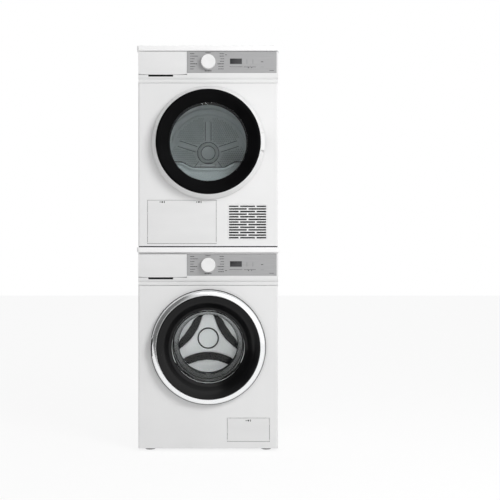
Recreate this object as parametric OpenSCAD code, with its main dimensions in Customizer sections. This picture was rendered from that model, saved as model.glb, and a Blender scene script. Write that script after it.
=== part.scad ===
// Stacked washer and dryer: a front-loading washing machine with a heat-pump
// tumble dryer joined on top of it.
// Units are millimetres. +X is to the right of someone facing the doors, +Y is
// towards the back and +Z is up. The origin is under the middle of the stack.
// Most shapes are placed by their depth behind the flat front sheets: depth 0
// is the face of the sheet, and what stands proud of it has a negative depth.

/* [Cabinets] */
// Width of each cabinet
body_w = 587; // [570:1:720]
// Depth of each cabinet from front sheet to rear sheet
body_d = 560; // [550:1:700]
// Height of each cabinet from its underside to the top of its fascia
shell_h = 816; // [800:1:990]
// Thickness of the steel sheets
sheet_t = 1.2; // [0.8:0.1:1.5]
// Radius of the front sheets' upright edges
edge_r = 6; // [4:0.5:10]
// How far the front sheets return along the sides
return_d = 20; // [15:1:30]
// Width of the flanges along the edges of the side sheets
flange_w = 14; // [10:1:20]
// Height of the base pans
pan_h = 40; // [30:1:50]
// Thickness of a base pan's plastic
pan_t = 3; // [2:0.5:5]

/* [Worktops and stacking] */
// Thickness of the worktops
worktop_t = 22; // [16:1:30]
// How far a worktop stands out past each side of its cabinet
worktop_side = 5; // [2:1:10]
// How far a worktop stands out in front of the front sheet
worktop_front = 12; // [9:1:20]
// Shadow gap between the washer's fascia and its worktop
washer_top_gap = 7; // [3:0.5:10]
// Gap between the dryer's fascia and its worktop
dryer_top_gap = 2; // [1:0.5:10]
// Height of the frame that joins the two machines
stack_gap = 5; // [4:0.5:12]
// Width of the joining frame's rails
rail_w = 32; // [25:1:45]

/* [Feet] */
// Height of the washer's body above the floor
foot_h = 10; // [8:1:25]
// Radius of a foot's pad
foot_r = 21; // [15:1:28]
// Radius of a foot's threaded stud
stud_r = 5; // [4:0.5:6]
// Distance from the cabinet's sides to a foot's centre
foot_inset = 48; // [40:1:70]

/* [Fascias] */
// Height of a fascia
fascia_h = 132; // [125:1:150]
// Height of the fascia's raised upper band
band_h = 98; // [94:1:104]
// How far the upper band stands in front of the front sheet
band_proud = 8; // [5:0.5:8]
// Height of the hollow slope under the upper band
slope_h = 18; // [14:1:22]
// Wall of the plastic mouldings
wall_t = 2.5; // [2:0.1:3]
// Height of the grey dial panel
dial_panel_h = 90; // [80:1:92]
// Thickness of the dial panel
dial_panel_t = 2; // [1.5:0.1:2.2]
// White margin to the right of the dial panel
dial_margin = 7; // [5:1:12]
// Width of the display
display_w = 49.5; // [40:0.5:60]
// Height of the display
display_h = 22.5; // [18:0.5:26]
// Distance from the cabinet's centreline to the display
display_x = 91.5; // [80:0.5:110]
// Distance from the fascia's top down to the display's middle
display_drop = 41; // [36:1:50]

/* [Dials] */
// Radius of a programme dial
dial_r = 31; // [26:0.5:34]
// Height of a dial
dial_h = 22; // [16:1:26]
// Distance from the fascia's top down to a dial's centre
dial_drop = 45; // [42:1:48]
// Radius of a dial's spindle
spindle_r = 3; // [2.5:0.1:4]

/* [Drawers] */
// Width of a drawer's front
drawer_w = 204; // [190:1:215]
// Height of a drawer's tray
tray_h = 62; // [50:1:70]
// Depth of the detergent tray
detergent_d = 250; // [200:1:280]
// Depth of the water tank
tank_d = 400; // [300:1:430]
// Wall of a drawer's tray and its housing
tray_t = 2; // [1.5:0.1:2.5]
// Clearance between a tray and its housing
tray_fit = 1; // [0.6:0.1:1.5]
// Width of the finger grip under a drawer's front
grip_w = 105; // [90:1:115]
// Height of the finger grip
grip_h = 7.5; // [6:0.5:8]

/* [Washer door] */
// Height of the door's centre above the cabinet's underside
washer_door_h = 427; // [410:1:440]
// Outer radius of the door ring
washer_ring_r = 239; // [232:1:245]
// How far the door stands in front of the front sheet
washer_door_proud = 41; // [38:1:48]
// Outer radius of the dished black bezel
bezel_r = 217; // [212:1:218]
// Radius of the glass bowl at the front
bowl_r = 151; // [140:1:155]
// Radius of the glass bowl at its inner end
bowl_end_r = 129; // [115:1:130]
// How deep the bowl reaches behind the front sheet
bowl_d = 135; // [110:1:140]
// Thickness of the glass
glass_t = 4; // [3:0.5:5]

/* [Dryer door] */
// Height of the door's centre above the cabinet's underside
dryer_door_h = 434; // [430:1:440]
// Radius of the door's white ring where it meets the front sheet
dryer_ring_r = 237; // [230:1:242]
// How far the door stands in front of the front sheet
dryer_door_proud = 55; // [50:1:60]
// Radius of the white ring at its front edge
rim_r = 221; // [218:1:224]
// Radius of the window
window_r = 165; // [155:1:168]

/* [Hinges and locks] */
// Distance from a door ring's edge in to its hinge pin
hinge_inset = 13; // [12:0.5:14]
// Distance of the hinge pins in front of the front sheets
hinge_proud = 21; // [20:0.5:23]
// Radius of the hinge pins
pin_r = 3; // [2.5:0.1:3.5]
// Radial clearance of the hinge pins in the door arms
pin_fit = 0.06; // [0.02:0.01:0.1]
// Half height of a hinge
hinge_half = 34; // [28:1:38]

/* [Washing drum] */
// Radius of the washing drum
drum_r = 240; // [235:1:245]
// Depth of the washing drum's front edge behind the front sheet
drum_front = 96; // [90:1:105]
// Depth of the raised face of the drum's back
drum_rear = 408; // [380:1:410]
// Radius of the drum's mouth
drum_mouth_r = 160; // [156:1:168]
// Radial clearance between the drum and the tub
tub_gap = 16; // [12:1:18]
// Wall of the tub
tub_t = 6; // [4:0.5:8]
// Radius of the drum's shaft
shaft_r = 15; // [12:0.5:18]
// Radius of the drum's pulley
pulley_r = 140; // [120:1:150]

/* [Drying drum] */
// Radius of the drying drum
dry_drum_r = 265; // [255:1:268]
// Depth of the drying drum's front edge behind the front sheet
dry_front = 78; // [74:1:90]
// Depth of the drying drum's back wall
dry_rear = 400; // [370:1:410]
// Radius of the dryer's loading throat
throat_r = 178; // [176:1:182]
// Radius of the drum's rear shaft
dry_shaft_r = 12; // [10:0.5:14]

/* [Service flaps] */
// Width of the pump filter's flap
pump_flap_w = 176; // [150:1:190]
// Height of the pump filter's flap
pump_flap_h = 97; // [88:1:110]
// Width of the heat exchanger's flap
exchanger_flap_w = 287; // [260:1:300]
// Height of the heat exchanger's flap
exchanger_flap_h = 181; // [150:1:190]
// Gap round a flap
flap_gap = 1.4; // [1.2:0.1:2]
// Thickness of a flap
flap_t = 2.5; // [2:0.1:3]

/* [Ventilation grille] */
// Width of the slotted area
grille_w = 156; // [140:1:170]
// Distance between the rows of slots
grille_pitch = 11; // [9:0.5:12]
// Height of a slot
slot_h = 6; // [4:0.5:7]
// Number of rows
grille_rows = 13; // [9:1:13]
// Width of the ribs between slots
rib_w = 7; // [5:0.5:10]

/* [Rear connections] */
// Radius of the water inlet's thread
inlet_r = 13.2; // [13:0.1:14]
// Radius of the drain outlet
drain_r = 10; // [9:0.5:12]
// How far the inlet and the drain stand out of the back
fitting_l = 18; // [15:1:25]
// Radius of the hole in a mains lead's gland
gland_r = 4; // [3.5:0.1:5]
// Radius of the transit bolt holes
transit_r = 12; // [10:0.5:14]
// Distance between the transit bolts across the back
transit_w = 320; // [300:1:340]
// Height between the transit bolts
transit_h = 300; // [280:1:320]

/* [Hidden] */
$fn = 96;

// Colours
WHITE = [0.95, 0.95, 0.95];
GREY = [0.68, 0.68, 0.69];
BLACK = [0.08, 0.08, 0.09];
STEEL = [0.72, 0.73, 0.75];
ZINC = [0.62, 0.64, 0.66];
PLASTIC = [0.82, 0.83, 0.83];
SMOKE = [0.3, 0.32, 0.34, 0.6];

// Levels of the two machines
washer_z = foot_h;
washer_ft = washer_z + shell_h;
washer_top = washer_ft + washer_top_gap + worktop_t;
dryer_z = washer_top + stack_gap;
dryer_ft = dryer_z + shell_h;
stack_top = dryer_ft + dryer_top_gap + worktop_t;
washer_zc = washer_z + washer_door_h;
dryer_zc = dryer_z + dryer_door_h;

// Sides and front of the stack
half_w = body_w / 2;
in_w = half_w - sheet_t;
front_y = -(dryer_door_proud + body_d + fitting_l) / 2 + dryer_door_proud;
seam = 1;
clear = 0.3;
big = 400;

// Edges of the fascia's parts
drawer_right = -half_w + drawer_w;
panel_right = half_w - dial_margin;
strip_h = fascia_h - band_h - slope_h;

// Outer radii of the nested drum parts
drum_t = 1.5;
tub_in_r = drum_r + tub_gap;
tub_r = tub_in_r + tub_t;
tub_front = 75;
back_floor = drum_rear + 10;
spider_rear = back_floor + drum_t + 16;
tub_rear = spider_rear + 14;
boss_rear = tub_rear + 20;
pulley_front = boss_rear + 6;
pulley_w = 16;
mouth_r = 172;
gasket_r = 187.3;
panel_hole_r = 188;
dryer_hole_r = 190;

// Motors: each axis is beside the middle line, near the base
washer_motor_x = 120;
washer_motor_z = washer_z + 120;
dryer_motor_x = 165;
dryer_motor_z = dryer_z + 85;
motor_r = 50;
motor_pulley_r = 10;
washer_motor_shaft_r = 7;
dryer_motor_shaft_r = 6;
shaft_fit = 0.08;
dry_belt_d = 340;
belt_t = 3;
belt_gap = 0.5;

// Pump filter
pump_x = 169;
pump_z = washer_z + 78;
filter_r = 32;
filter_fit = 0.08;
pump_flap_z = washer_z + 30;

// Dryer's lower front
exchanger_flap_x = -254;
exchanger_flap_z = dryer_z + 11;
grille_x = 87.4;
grille_z = dryer_z + 32;
grille_h = (grille_rows - 1) * grille_pitch + slot_h;
grille_frame = 4;

// Lint filter: a cassette in a slot of the front bulkhead
filter_top = dryer_zc - 77;
dip = 22;
cassette_w = 160;
cassette_h = 118;
cassette_t = 10;
cassette_d = 53;
filter_front = 46;
filter_rear = 69;
cassette_fit = 1;
plate_d = 38;

// Rear fittings
inlet_x = 225;
gland_x = 150;
fitting_drop = 55;

// ---------------------------------------------------------------- helpers

// Box between two corners, with y as the depth behind the front sheet
module bar(x0, x1, d0, d1, z0, z1) {
    translate([x0, front_y + d0, z0]) cube([x1 - x0, d1 - d0, z1 - z0]);
}

// Turn a [radius, depth] profile about a front-to-back axis
module turned(x, z) {
    translate([x, front_y, z]) rotate([-90, 0, 0]) rotate_extrude() children();
}

// Round bar along a front-to-back axis
module rod(x, z, r, d0, d1) {
    translate([x, front_y + d0, z]) rotate([-90, 0, 0]) cylinder(r = r, h = d1 - d0);
}

// Tube along a front-to-back axis
module tube(x, z, r_out, r_in, d0, d1) {
    difference() {
        rod(x, z, r_out, d0, d1);
        rod(x, z, r_in, d0 - 1, d1 + 1);
    }
}

// Flat outline in X and Z, given a thickness from depth d0 to d1
module plate(x, z, d0, d1) {
    translate([x, front_y + d1, z]) rotate([90, 0, 0]) linear_extrude(d1 - d0) children();
}

// Upright bar with both front corners rounded
module fronted(w, d0, d1, z0, z1, r) {
    difference() {
        union() {
            bar(-w, w, d0 + r, d1, z0, z1);
            bar(-w + r, w - r, d0, d0 + r, z0, z1);
            for (s = [-1, 1]) {
                translate([s * (w - r), front_y + d0 + r, z0]) cylinder(r = r, h = z1 - z0);
            }
        }
    }
}

// Children on the left as drawn, or mirrored to the right
module on_side(s) {
    if (s > 0) mirror([1, 0, 0]) children();
    else children();
}

// ------------------------------------------------------------ shared parts

// Two side sheets with inward flanges along their upright edges
module side_pair(z0, z1) {
    for (s = [-1, 1]) on_side(s) {
        bar(-half_w, -in_w, return_d + clear, body_d - sheet_t, z0, z1);
        bar(-in_w, -in_w + flange_w, return_d + clear, return_d + clear + sheet_t, z0, z1);
        bar(-in_w, -in_w + flange_w, body_d - 2 * sheet_t, body_d - sheet_t, z0, z1);
    }
}

// Base pan with an upstand all round and four foot bosses
module base_pan(z0) {
    w = in_w - clear - flange_w;
    d0 = return_d + 4;
    d1 = body_d - 4;
    difference() {
        union() {
            difference() {
                bar(-w, w, d0, d1, z0, z0 + pan_h);
                bar(-w + pan_t, w - pan_t, d0 + pan_t, d1 - pan_t, z0 + pan_t, z0 + pan_h + 1);
            }
            foot_places(z0) cylinder(r = stud_r + 9, h = pan_h - 10);
        }
        foot_places(z0 - 1) cylinder(r = stud_r + 0.1, h = pan_h + 2);
    }
}

// The four foot positions under a cabinet
module foot_places(z) {
    for (x = [-half_w + foot_inset, half_w - foot_inset]) {
        for (d = [foot_inset, body_d - foot_inset]) {
            translate([x, front_y + d, z]) children();
        }
    }
}

// Worktop with rounded corners and a lowered rear edge
module worktop(z) {
    w = half_w + worktop_side;
    d1 = body_d - 2;
    r = 8;
    translate([0, front_y, z]) linear_extrude(worktop_t) union() {
        translate([-w + r, -worktop_front]) square([2 * w - 2 * r, worktop_front + d1]);
        translate([-w, -worktop_front + r]) square([2 * w, worktop_front + d1 - 2 * r]);
        for (x = [-w + r, w - r]) {
            for (d = [-worktop_front + r, d1 - r]) translate([x, d]) circle(r);
        }
    }
}

// Front sheet folded back along both sides
module front_tray(z0, z1) {
    difference() {
        fronted(half_w, 0, return_d, z0, z1, edge_r);
        fronted(in_w, sheet_t, return_d + 1, z0 - 1, z1 + 1, edge_r - sheet_t);
    }
}

// Rolled lip round a door opening
module opening_lip(z, r) {
    tube(0, z, r + sheet_t, r, sheet_t, sheet_t + 10);
}

// Bent tabs that carry a flap's two hinge pins
module flap_tabs(x0, w, z) {
    for (x = [x0 - 3.5, x0 + w + 2]) {
        difference() {
            bar(x, x + 1.5, sheet_t, 9, z - 1, z + 9);
            translate([x - 1, front_y + 4.5, z + 4]) rotate([0, 90, 0]) cylinder(r = 2.08, h = 4);
        }
    }
}

// Flush flap hinged along its lower edge
module flap(x0, w, z, h) {
    bar(x0, x0 + w, 0, flap_t, z, z + h);
    for (x = [x0, x0 + w - 8]) bar(x, x + 8, flap_t, 7, z, z + 8);
    for (x = [x0 - 3.8, x0 + w - 1]) {
        translate([x, front_y + 4.5, z + 4]) rotate([0, 90, 0]) cylinder(r = 2, h = 4.8);
    }
}

// Opening in a front sheet for a flap
module flap_hole(x0, w, z, h) {
    bar(x0 - flap_gap, x0 + w + flap_gap, -1, return_d, z - flap_gap, z + h + flap_gap);
}

// Fascia moulding: lower strip, hollow slope and raised band to the right
module fascia(ft) {
    z0 = ft - fascia_h + seam;
    band_z = ft - band_h;
    slope = [for (a = [0:10:90]) [
        -band_proud + band_proud * (1 - cos(a)),
        band_z - slope_h * sin(a)
    ]];
    back = [for (a = [90:-10:0]) [
        -band_proud + wall_t + band_proud * (1 - cos(a)),
        band_z - slope_h * sin(a)
    ]];
    difference() {
        union() {
            bar(-half_w, half_w, 0, wall_t, z0, ft - band_h - slope_h);
            translate([-half_w, 0, 0]) rotate([90, 0, 90]) linear_extrude(body_w)
                translate([front_y, 0]) polygon(concat(slope, back));
            bar(drawer_right + clear, half_w, -band_proud, wall_t * 2 - band_proud, band_z, ft);
            bar(drawer_right + clear, half_w, -band_proud, return_d, ft - wall_t, ft);
            bar(-half_w, drawer_right, wall_t * 2, return_d, ft - wall_t, ft);
            bar(drawer_right + clear, drawer_right + clear + wall_t, -band_proud, return_d,
                band_z, ft);
            bar(half_w - wall_t, half_w, -band_proud, return_d, band_z, ft);
            for (x = [-half_w, half_w - wall_t]) bar(x, x + wall_t, 0, return_d, z0, band_z);
            bar(-half_w, -half_w + wall_t, wall_t * 2, return_d, band_z, ft);
        }
        bar(drawer_right - 1, panel_right + 0.2, -band_proud - 1, dial_panel_t - band_proud,
            ft - dial_panel_h, ft + 1);
        rod(0, ft - dial_drop, spindle_r + 2, -band_proud - 1, return_d);
        display_box(ft, 0.3, -band_proud - 1, return_d);
        bar(grip_x(), grip_x() + grip_w, -band_proud - 1, return_d, band_z - grip_h, band_z + 1);
    }
}

// Left edge of the finger grip
function grip_x() = -half_w + (drawer_w - grip_w) / 2 - 8;

// Block the size of the display, grown by g
module display_box(ft, g, d0, d1) {
    bar(display_x - g, display_x + display_w + g, d0, d1,
        ft - display_drop - display_h / 2 - g, ft - display_drop + display_h / 2 + g);
}

// Printed grey panel behind a dial
module dial_panel(ft) {
    difference() {
        bar(drawer_right + clear, panel_right, -band_proud, dial_panel_t - band_proud,
            ft - dial_panel_h + 0.2, ft);
        rod(0, ft - dial_drop, spindle_r + 1, -band_proud - 1, 0);
        display_box(ft, 0.2, -band_proud - 1, 0);
    }
}

// Circuit board with its display and its rotary encoder
module control_board(ft) {
    difference() {
        union() {
            bar(-60, 250, 6, 7.6, ft - 78, ft - 12);
            display_box(ft, 0, 0.2 - band_proud, 6);
            bar(-12, 12, 0, 6, ft - dial_drop - 12, ft - dial_drop + 12);
        }
        rod(0, ft - dial_drop, spindle_r + shaft_fit, -1, 9);
    }
}

// Programme dial with its spindle
module dial(ft) {
    z = ft - dial_drop;
    base = -band_proud - 1;
    turned(0, z) polygon([
        [0, base - dial_h], [dial_r - 5, base - dial_h], [dial_r - 3, base - dial_h + 1.2],
        [dial_r - 1.5, base - 6], [dial_r, base - 4], [dial_r, base], [0, base]
    ]);
    rod(0, z, spindle_r, base - 1, 7);
}

// Front of a drawer: a shallow moulding with rounded lower corners
module drawer_face(ft) {
    h = band_h - 1;
    r = 10;
    w = drawer_w;
    difference() {
        plate(-half_w, ft - h, -band_proud, 3) union() {
            translate([0, r]) square([w, h - r]);
            translate([r, 0]) square([w - 2 * r, h]);
            for (x = [r, w - r]) translate([x, r]) circle(r);
        }
        bar(-half_w + 3, drawer_right - 3, -band_proud + 3, 4, ft - h - 1, ft - 3);
    }
}

// Size of a drawer's tray in X
tray_x0 = -in_w + flange_w + tray_fit + tray_t + 2;
tray_x1 = drawer_right - 10;
tray_top_drop = 22;

// Fixed housing that a drawer slides in, with a finger pocket under the front
module drawer_case(ft, d1) {
    g = tray_fit;
    t = tray_t;
    x0 = tray_x0 - g - t;
    x1 = tray_x1 + g + t;
    z1 = ft - tray_top_drop + g + t;
    z0 = ft - tray_top_drop - tray_h - g - t;
    difference() {
        bar(x0, x1, 7, d1 + 12, z0, z1);
        bar(x0 + t, x1 - t, 6, d1 + 10, z0 + t, z1 - t);
    }
    difference() {
        bar(grip_x() + 0.5, grip_x() + grip_w - 0.5, -5, 15, ft - band_h - grip_h + 0.5, z0);
        bar(grip_x() + 2, grip_x() + grip_w - 2, -6, 13, ft - band_h - grip_h + 2, z0 - 1.5);
    }
}

// Concentric pieces of a hinge: three knuckles on an upright pin
module hinge_axis(s, ring_r, z) {
    translate([s * (ring_r - hinge_inset), front_y - hinge_proud, z]) children();
}

// Hinge bracket on the front sheet with its two knuckles and the pin
module hinge_bracket(s, ring_r, z) {
    x = ring_r - hinge_inset;
    on_side(s) {
        bar(-x - 10, -x + 26, -2.5, 0, z - hinge_half, z + hinge_half);
        for (z0 = [z - hinge_half, z + 16]) {
            bar(-x, -x + 5.5, -hinge_proud, -2, z0, z0 + hinge_half - 16);
        }
    }
    hinge_axis(s, ring_r, z) {
        for (z0 = [-hinge_half, 16]) translate([0, 0, z0]) cylinder(r = 5.5, h = hinge_half - 16);
        translate([0, 0, -hinge_half]) cylinder(r = pin_r, h = 2 * hinge_half);
    }
}

// Arm of a door's frame, bored for the hinge pin
module hinge_arm(s, ring_r, z, inner_r, d0, d1) {
    x = ring_r - hinge_inset;
    difference() {
        union() {
            hinge_axis(s, ring_r, z) translate([0, 0, -15]) cylinder(r = 5.5, h = 30);
            on_side(s) bar(-x, -inner_r, d0, d1, z - 15, z + 15);
        }
        hinge_axis(s, ring_r, z) translate([0, 0, -16]) cylinder(r = pin_r + pin_fit, h = 32);
    }
}

// Space in a door ring that the hinge works in
module hinge_notch(s, ring_r, z, depth) {
    x = ring_r - hinge_inset;
    on_side(s) bar(-ring_r - 10, -x + 14, -depth, 1, z - hinge_half - 4, z + hinge_half + 4);
}

// Hook on a door's closing side
module door_hook(s, z) {
    on_side(s) {
        bar(-206, -200, -8, 20, z - 8, z + 8);
        bar(-206, -196, 17, 22, z - 8, z + 8);
    }
}

// Slot in a front sheet for the hook
module hook_slot(s, z) {
    on_side(s) bar(-216, -194.5, -1, 12, z - 12, z + 12);
}

// Lock behind the front sheet
module door_lock(s, z) {
    on_side(s) difference() {
        bar(-222, -192.5, sheet_t, 34, z - 35, z + 35);
        bar(-217, -194.5, 0, 30, z - 13, z + 13);
    }
}

// Outline round a large and a small pulley
module belt_loop(big_r, small_r, dx, dz) {
    l = sqrt(dx * dx + dz * dz);
    a = atan2(dz, dx);
    b = acos((big_r - small_r) / l);
    circle(big_r);
    translate([dx, dz]) circle(small_r);
    polygon([
        [big_r * cos(a + b), big_r * sin(a + b)],
        [big_r * cos(a - b), big_r * sin(a - b)],
        [dx + small_r * cos(a - b), dz + small_r * sin(a - b)],
        [dx + small_r * cos(a + b), dz + small_r * sin(a + b)]
    ]);
}

// Flat belt round two pulleys
module belt(zc, big_r, mx, mz, d0, w) {
    plate(0, zc, d0, d0 + w) difference() {
        belt_loop(big_r + belt_gap + belt_t, motor_pulley_r + belt_gap + belt_t, mx, mz - zc);
        belt_loop(big_r + belt_gap, motor_pulley_r + belt_gap, mx, mz - zc);
    }
}

// Motor case on two feet, bored for its shaft
module motor(x, z, z_base, d0, d1, shaft) {
    difference() {
        union() {
            rod(x, z, motor_r, d0, d1);
            rod(x, z, motor_r * 0.4, d0 - 8, d1 + 8);
            for (s = [-1, 1]) bar(x + s * 30 - 6, x + s * 30 + 6, d0 + 15, d1 - 15, z_base, z - 30);
        }
        rod(x, z, shaft + shaft_fit, d0 - 9, d1 + 9);
    }
}

// Gland for a mains lead
module gland(z) {
    tube(gland_x, z, gland_r + 7, gland_r, body_d - 6, body_d + 12);
}

// Rear sheet with ribs pressed along its height
module rear_sheet(z0, z1, z_gland) {
    difference() {
        union() {
            bar(-half_w + 1, half_w - 1, body_d - sheet_t, body_d, z0, z1);
            for (x = [-170:85:170]) {
                bar(x - 6, x + 6, body_d, body_d + 2, z0 + 240, z1 - 240);
            }
        }
        rod(gland_x, z_gland, gland_r + 7, body_d - 3, body_d + 3);
    }
    gland(z_gland);
}

// -------------------------------------------------------------- both machines

module cabinet_sides() {
    color(WHITE) {
        side_pair(washer_z, washer_ft + washer_top_gap);
        side_pair(dryer_z, dryer_ft + dryer_top_gap);
        spring_shelves();
    }
}

module control_boards() {
    color("darkgreen") {
        control_board(washer_ft);
        control_board(dryer_ft);
    }
}

module dial_panels() {
    color(GREY) {
        dial_panel(washer_ft);
        dial_panel(dryer_ft);
    }
}

module drive_belts() {
    color(BLACK) {
        belt(washer_zc, pulley_r, washer_motor_x, washer_motor_z, pulley_front + 3, 10);
        belt(dryer_zc, dry_drum_r, dryer_motor_x, dryer_motor_z, dry_belt_d, 8);
    }
}

module drive_motors() {
    color(ZINC) {
        motor(washer_motor_x, washer_motor_z, washer_z + pan_t, tub_rear - 130, tub_rear - 10,
            washer_motor_shaft_r);
        motor(dryer_motor_x, dryer_motor_z, dryer_z + pan_t, 180, 310, dryer_motor_shaft_r);
    }
}

module stacking_kit() {
    w = half_w - 2;
    color(BLACK) {
        difference() {
            bar(-w, w, 4, body_d - 8, washer_top, dryer_z);
            bar(-w + rail_w, w - rail_w, 4 + rail_w, body_d - 8 - rail_w, washer_top - 1, dryer_z + 1);
        }
        foot_places(dryer_z - 1) cylinder(r = stud_r, h = pan_h - 15);
        foot_places(washer_top) cylinder(r = stud_r + 13, h = stack_gap);
    }
}

module levelling_feet() {
    color(BLACK) foot_places(0) {
        cylinder(r = foot_r, h = foot_h);
        cylinder(r = stud_r, h = foot_h + pan_h - 8);
    }
}

module door_locks() {
    color(PLASTIC) {
        door_lock(1, washer_zc);
        door_lock(-1, dryer_zc);
    }
}

// ---------------------------------------------------------------- the washer

module washer_rear_panel() {
    z_fit = washer_ft - fitting_drop;
    color(ZINC) difference() {
        rear_sheet(washer_z, washer_ft + washer_top_gap, z_fit);
        rod(inlet_x, z_fit, inlet_r + 3, body_d - 3, body_d + 3);
        rod(-inlet_x, z_fit, drain_r + 3, body_d - 3, body_d + 3);
        for (x = [-transit_w / 2, transit_w / 2]) {
            for (z = [-transit_h / 2, transit_h / 2]) {
                rod(x, washer_zc + z, transit_r, body_d - 3, body_d + 3);
            }
        }
    }
}

module washer_base() {
    color(BLACK) base_pan(washer_z);
}

module washer_worktop() {
    color(WHITE) worktop(washer_ft + washer_top_gap);
}

module washer_front_panel() {
    color(WHITE) {
        difference() {
            front_tray(washer_z, washer_ft - fascia_h);
            rod(0, washer_zc, panel_hole_r, -1, return_d);
            hook_slot(1, washer_zc);
            flap_hole(pump_x - pump_flap_w / 2, pump_flap_w, pump_flap_z, pump_flap_h);
        }
        opening_lip(washer_zc, panel_hole_r);
        flap_tabs(pump_x - pump_flap_w / 2, pump_flap_w, pump_flap_z);
    }
}

module washer_fascia() {
    color(WHITE) fascia(washer_ft);
}

module washer_knob() {
    color(WHITE) dial(washer_ft);
}

module detergent_drawer_front() {
    color(WHITE) drawer_face(washer_ft);
}

module detergent_drawer_tray() {
    z1 = washer_ft - tray_top_drop;
    z0 = z1 - tray_h;
    w = (tray_x1 - tray_x0 - 4 * tray_t) / 3;
    color(PLASTIC) difference() {
        union() {
            bar(tray_x0, tray_x1, 3, 3 + detergent_d, z0, z1);
            bar(tray_x0 + 12, tray_x1 - 12, -band_proud + 3, 3, z0 + 4, z1 - 4);
        }
        for (i = [0:2]) {
            x = tray_x0 + tray_t + i * (w + tray_t);
            bar(x, x + w, 3 + tray_t, 3 + detergent_d - tray_t, z0 + tray_t, z1 + 1);
        }
        bar(tray_x0 + 14, tray_x1 - 14, -band_proud + 5, 3 - 1, z0 + 3, z1 - 6);
    }
}

module drawer_housing() {
    color(PLASTIC) drawer_case(washer_ft, 3 + detergent_d);
}

module washer_door_ring() {
    r = washer_ring_r;
    p = washer_door_proud;
    color(STEEL) difference() {
        turned(0, washer_zc) polygon([
            [r, -6], [r, -p + 19], [r - 2, -p + 11], [r - 7, -p + 4], [r - 14, -p + 0.8],
            [bezel_r, -p], [bezel_r, -p + 5], [r - 14, -p + 5.5], [r - 8, -p + 9],
            [r - 4.5, -p + 15], [r - 4, -p + 20], [r - 4, -6]
        ]);
        hinge_notch(-1, r, washer_zc, p - 7);
    }
}

module washer_door_bezel() {
    p = washer_door_proud;
    t = 3;
    color(BLACK) turned(0, washer_zc) polygon([
        [bezel_r - 0.3, -p + 0.5], [bezel_r - 4, -p], [bezel_r - 24, -p + 4],
        [bezel_r - 30, -p + 9], [bowl_r + 12, -6], [bowl_r + 2, 0], [bowl_r + 2, t],
        [bowl_r + 13, -5 + t], [bezel_r - 28, -p + 10 + t], [bezel_r - 22, -p + 5 + t],
        [bezel_r - 0.3, -p + 5]
    ]);
}

module washer_door_glass() {
    t = glass_t;
    color(SMOKE) turned(0, washer_zc) polygon([
        [bowl_r + 14, 3.5], [bowl_r + 14, 3.5 + t], [bowl_r, 3.5 + t], [bowl_end_r + 4, bowl_d - 8],
        [bowl_end_r - 4, bowl_d - 1], [bowl_end_r - 14, bowl_d + 2], [0, bowl_d + 6],
        [0, bowl_d + 6 - t], [bowl_end_r - 16, bowl_d + 2 - t], [bowl_end_r - 6, bowl_d - t - 1],
        [bowl_end_r, bowl_d - t - 7], [bowl_r - t, 3.5]
    ]);
}

// Inner frame that clamps the glass and carries the hinge arm and the hook
module washer_door_frame() {
    p = washer_door_proud;
    color(PLASTIC) {
        turned(0, washer_zc) polygon([
            [bezel_r - 6, -p + 9], [bezel_r - 3, -p + 9], [bezel_r - 3, -4], [bowl_r + 26, -4],
            [bowl_r + 18, 4], [bowl_r + 18, 12], [bowl_r + 3, 12], [bowl_r + 3, 8],
            [bowl_r + 14.4, 8], [bowl_r + 14.4, 2.4], [bowl_r + 23, -7], [bezel_r - 6, -7]
        ]);
        hinge_arm(-1, washer_ring_r, washer_zc, bezel_r - 6, -p + 14, -p + 24);
        door_hook(1, washer_zc);
    }
}

module washer_hinge() {
    color(ZINC) hinge_bracket(-1, washer_ring_r, washer_zc);
}

module washer_gasket() {
    g = gasket_r;
    color(GREY) turned(0, washer_zc) polygon([
        [g, 3], [g, 24], [g - 7, 32], [g, 40], [g, tub_front], [g - 19, tub_front],
        [g - 21, 60], [g - 17, 56], [g - 15, 68], [g - 5, 70], [g - 5, 42], [g - 14, 32],
        [g - 5, 22], [g - 5, 3]
    ]);
}

module washer_tub() {
    color(PLASTIC) {
        difference() {
            union() {
                turned(0, washer_zc) polygon([
                    [mouth_r, tub_front], [tub_r - 10, tub_front], [tub_r, tub_front + 10],
                    [tub_r, tub_rear], [45, tub_rear], [45, boss_rear], [31, boss_rear],
                    [31, tub_rear - tub_t], [tub_in_r, tub_rear - tub_t],
                    [tub_in_r, tub_front + 12], [tub_in_r - 8, tub_front + tub_t],
                    [mouth_r, tub_front + tub_t]
                ]);
                for (s = [-1, 1]) {
                    bar(s * 215 - 8, s * 215 + 8, 340, 352, washer_zc + 130, washer_zc + 200);
                    bar(s * 200 - 8, s * 200 + 8, 254, 266, washer_zc - 200, washer_zc - 150);
                }
                bar(-60, 60, 180, 330, washer_zc - tub_r - 14, washer_zc - tub_r + 20);
            }
            rod(0, washer_zc, tub_in_r, tub_front + 14, tub_rear - tub_t - 2);
            bar(-54, 54, 186, 324, washer_zc - tub_r - 8, washer_zc - tub_r + 21);
        }
        for (d = [tub_rear - tub_t, boss_rear - 12]) tube(0, washer_zc, 31, shaft_r + shaft_fit, d, d + 12);
        for (x = [-36, -12, 12, 36]) rod(x, washer_zc - tub_r + 2, 4, 190, 318);
    }
}

module washer_drum() {
    m = drum_mouth_r;
    color(STEEL) turned(0, washer_zc) polygon([
        [m, drum_front - 3], [m + 3, drum_front - 5], [m + 5, drum_front - 2],
        [m + 6, drum_front + 2], [drum_r - 8, drum_front + 2], [drum_r, drum_front + 10],
        [drum_r, back_floor + drum_t], [drum_r - drum_t, back_floor + drum_t],
        [drum_r - drum_t, drum_front + 11], [drum_r - 9, drum_front + 2 + drum_t],
        [m + 5, drum_front + 2 + drum_t], [m + 3, drum_front - 2], [m + 1.5, drum_front - 2]
    ]);
}

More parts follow.
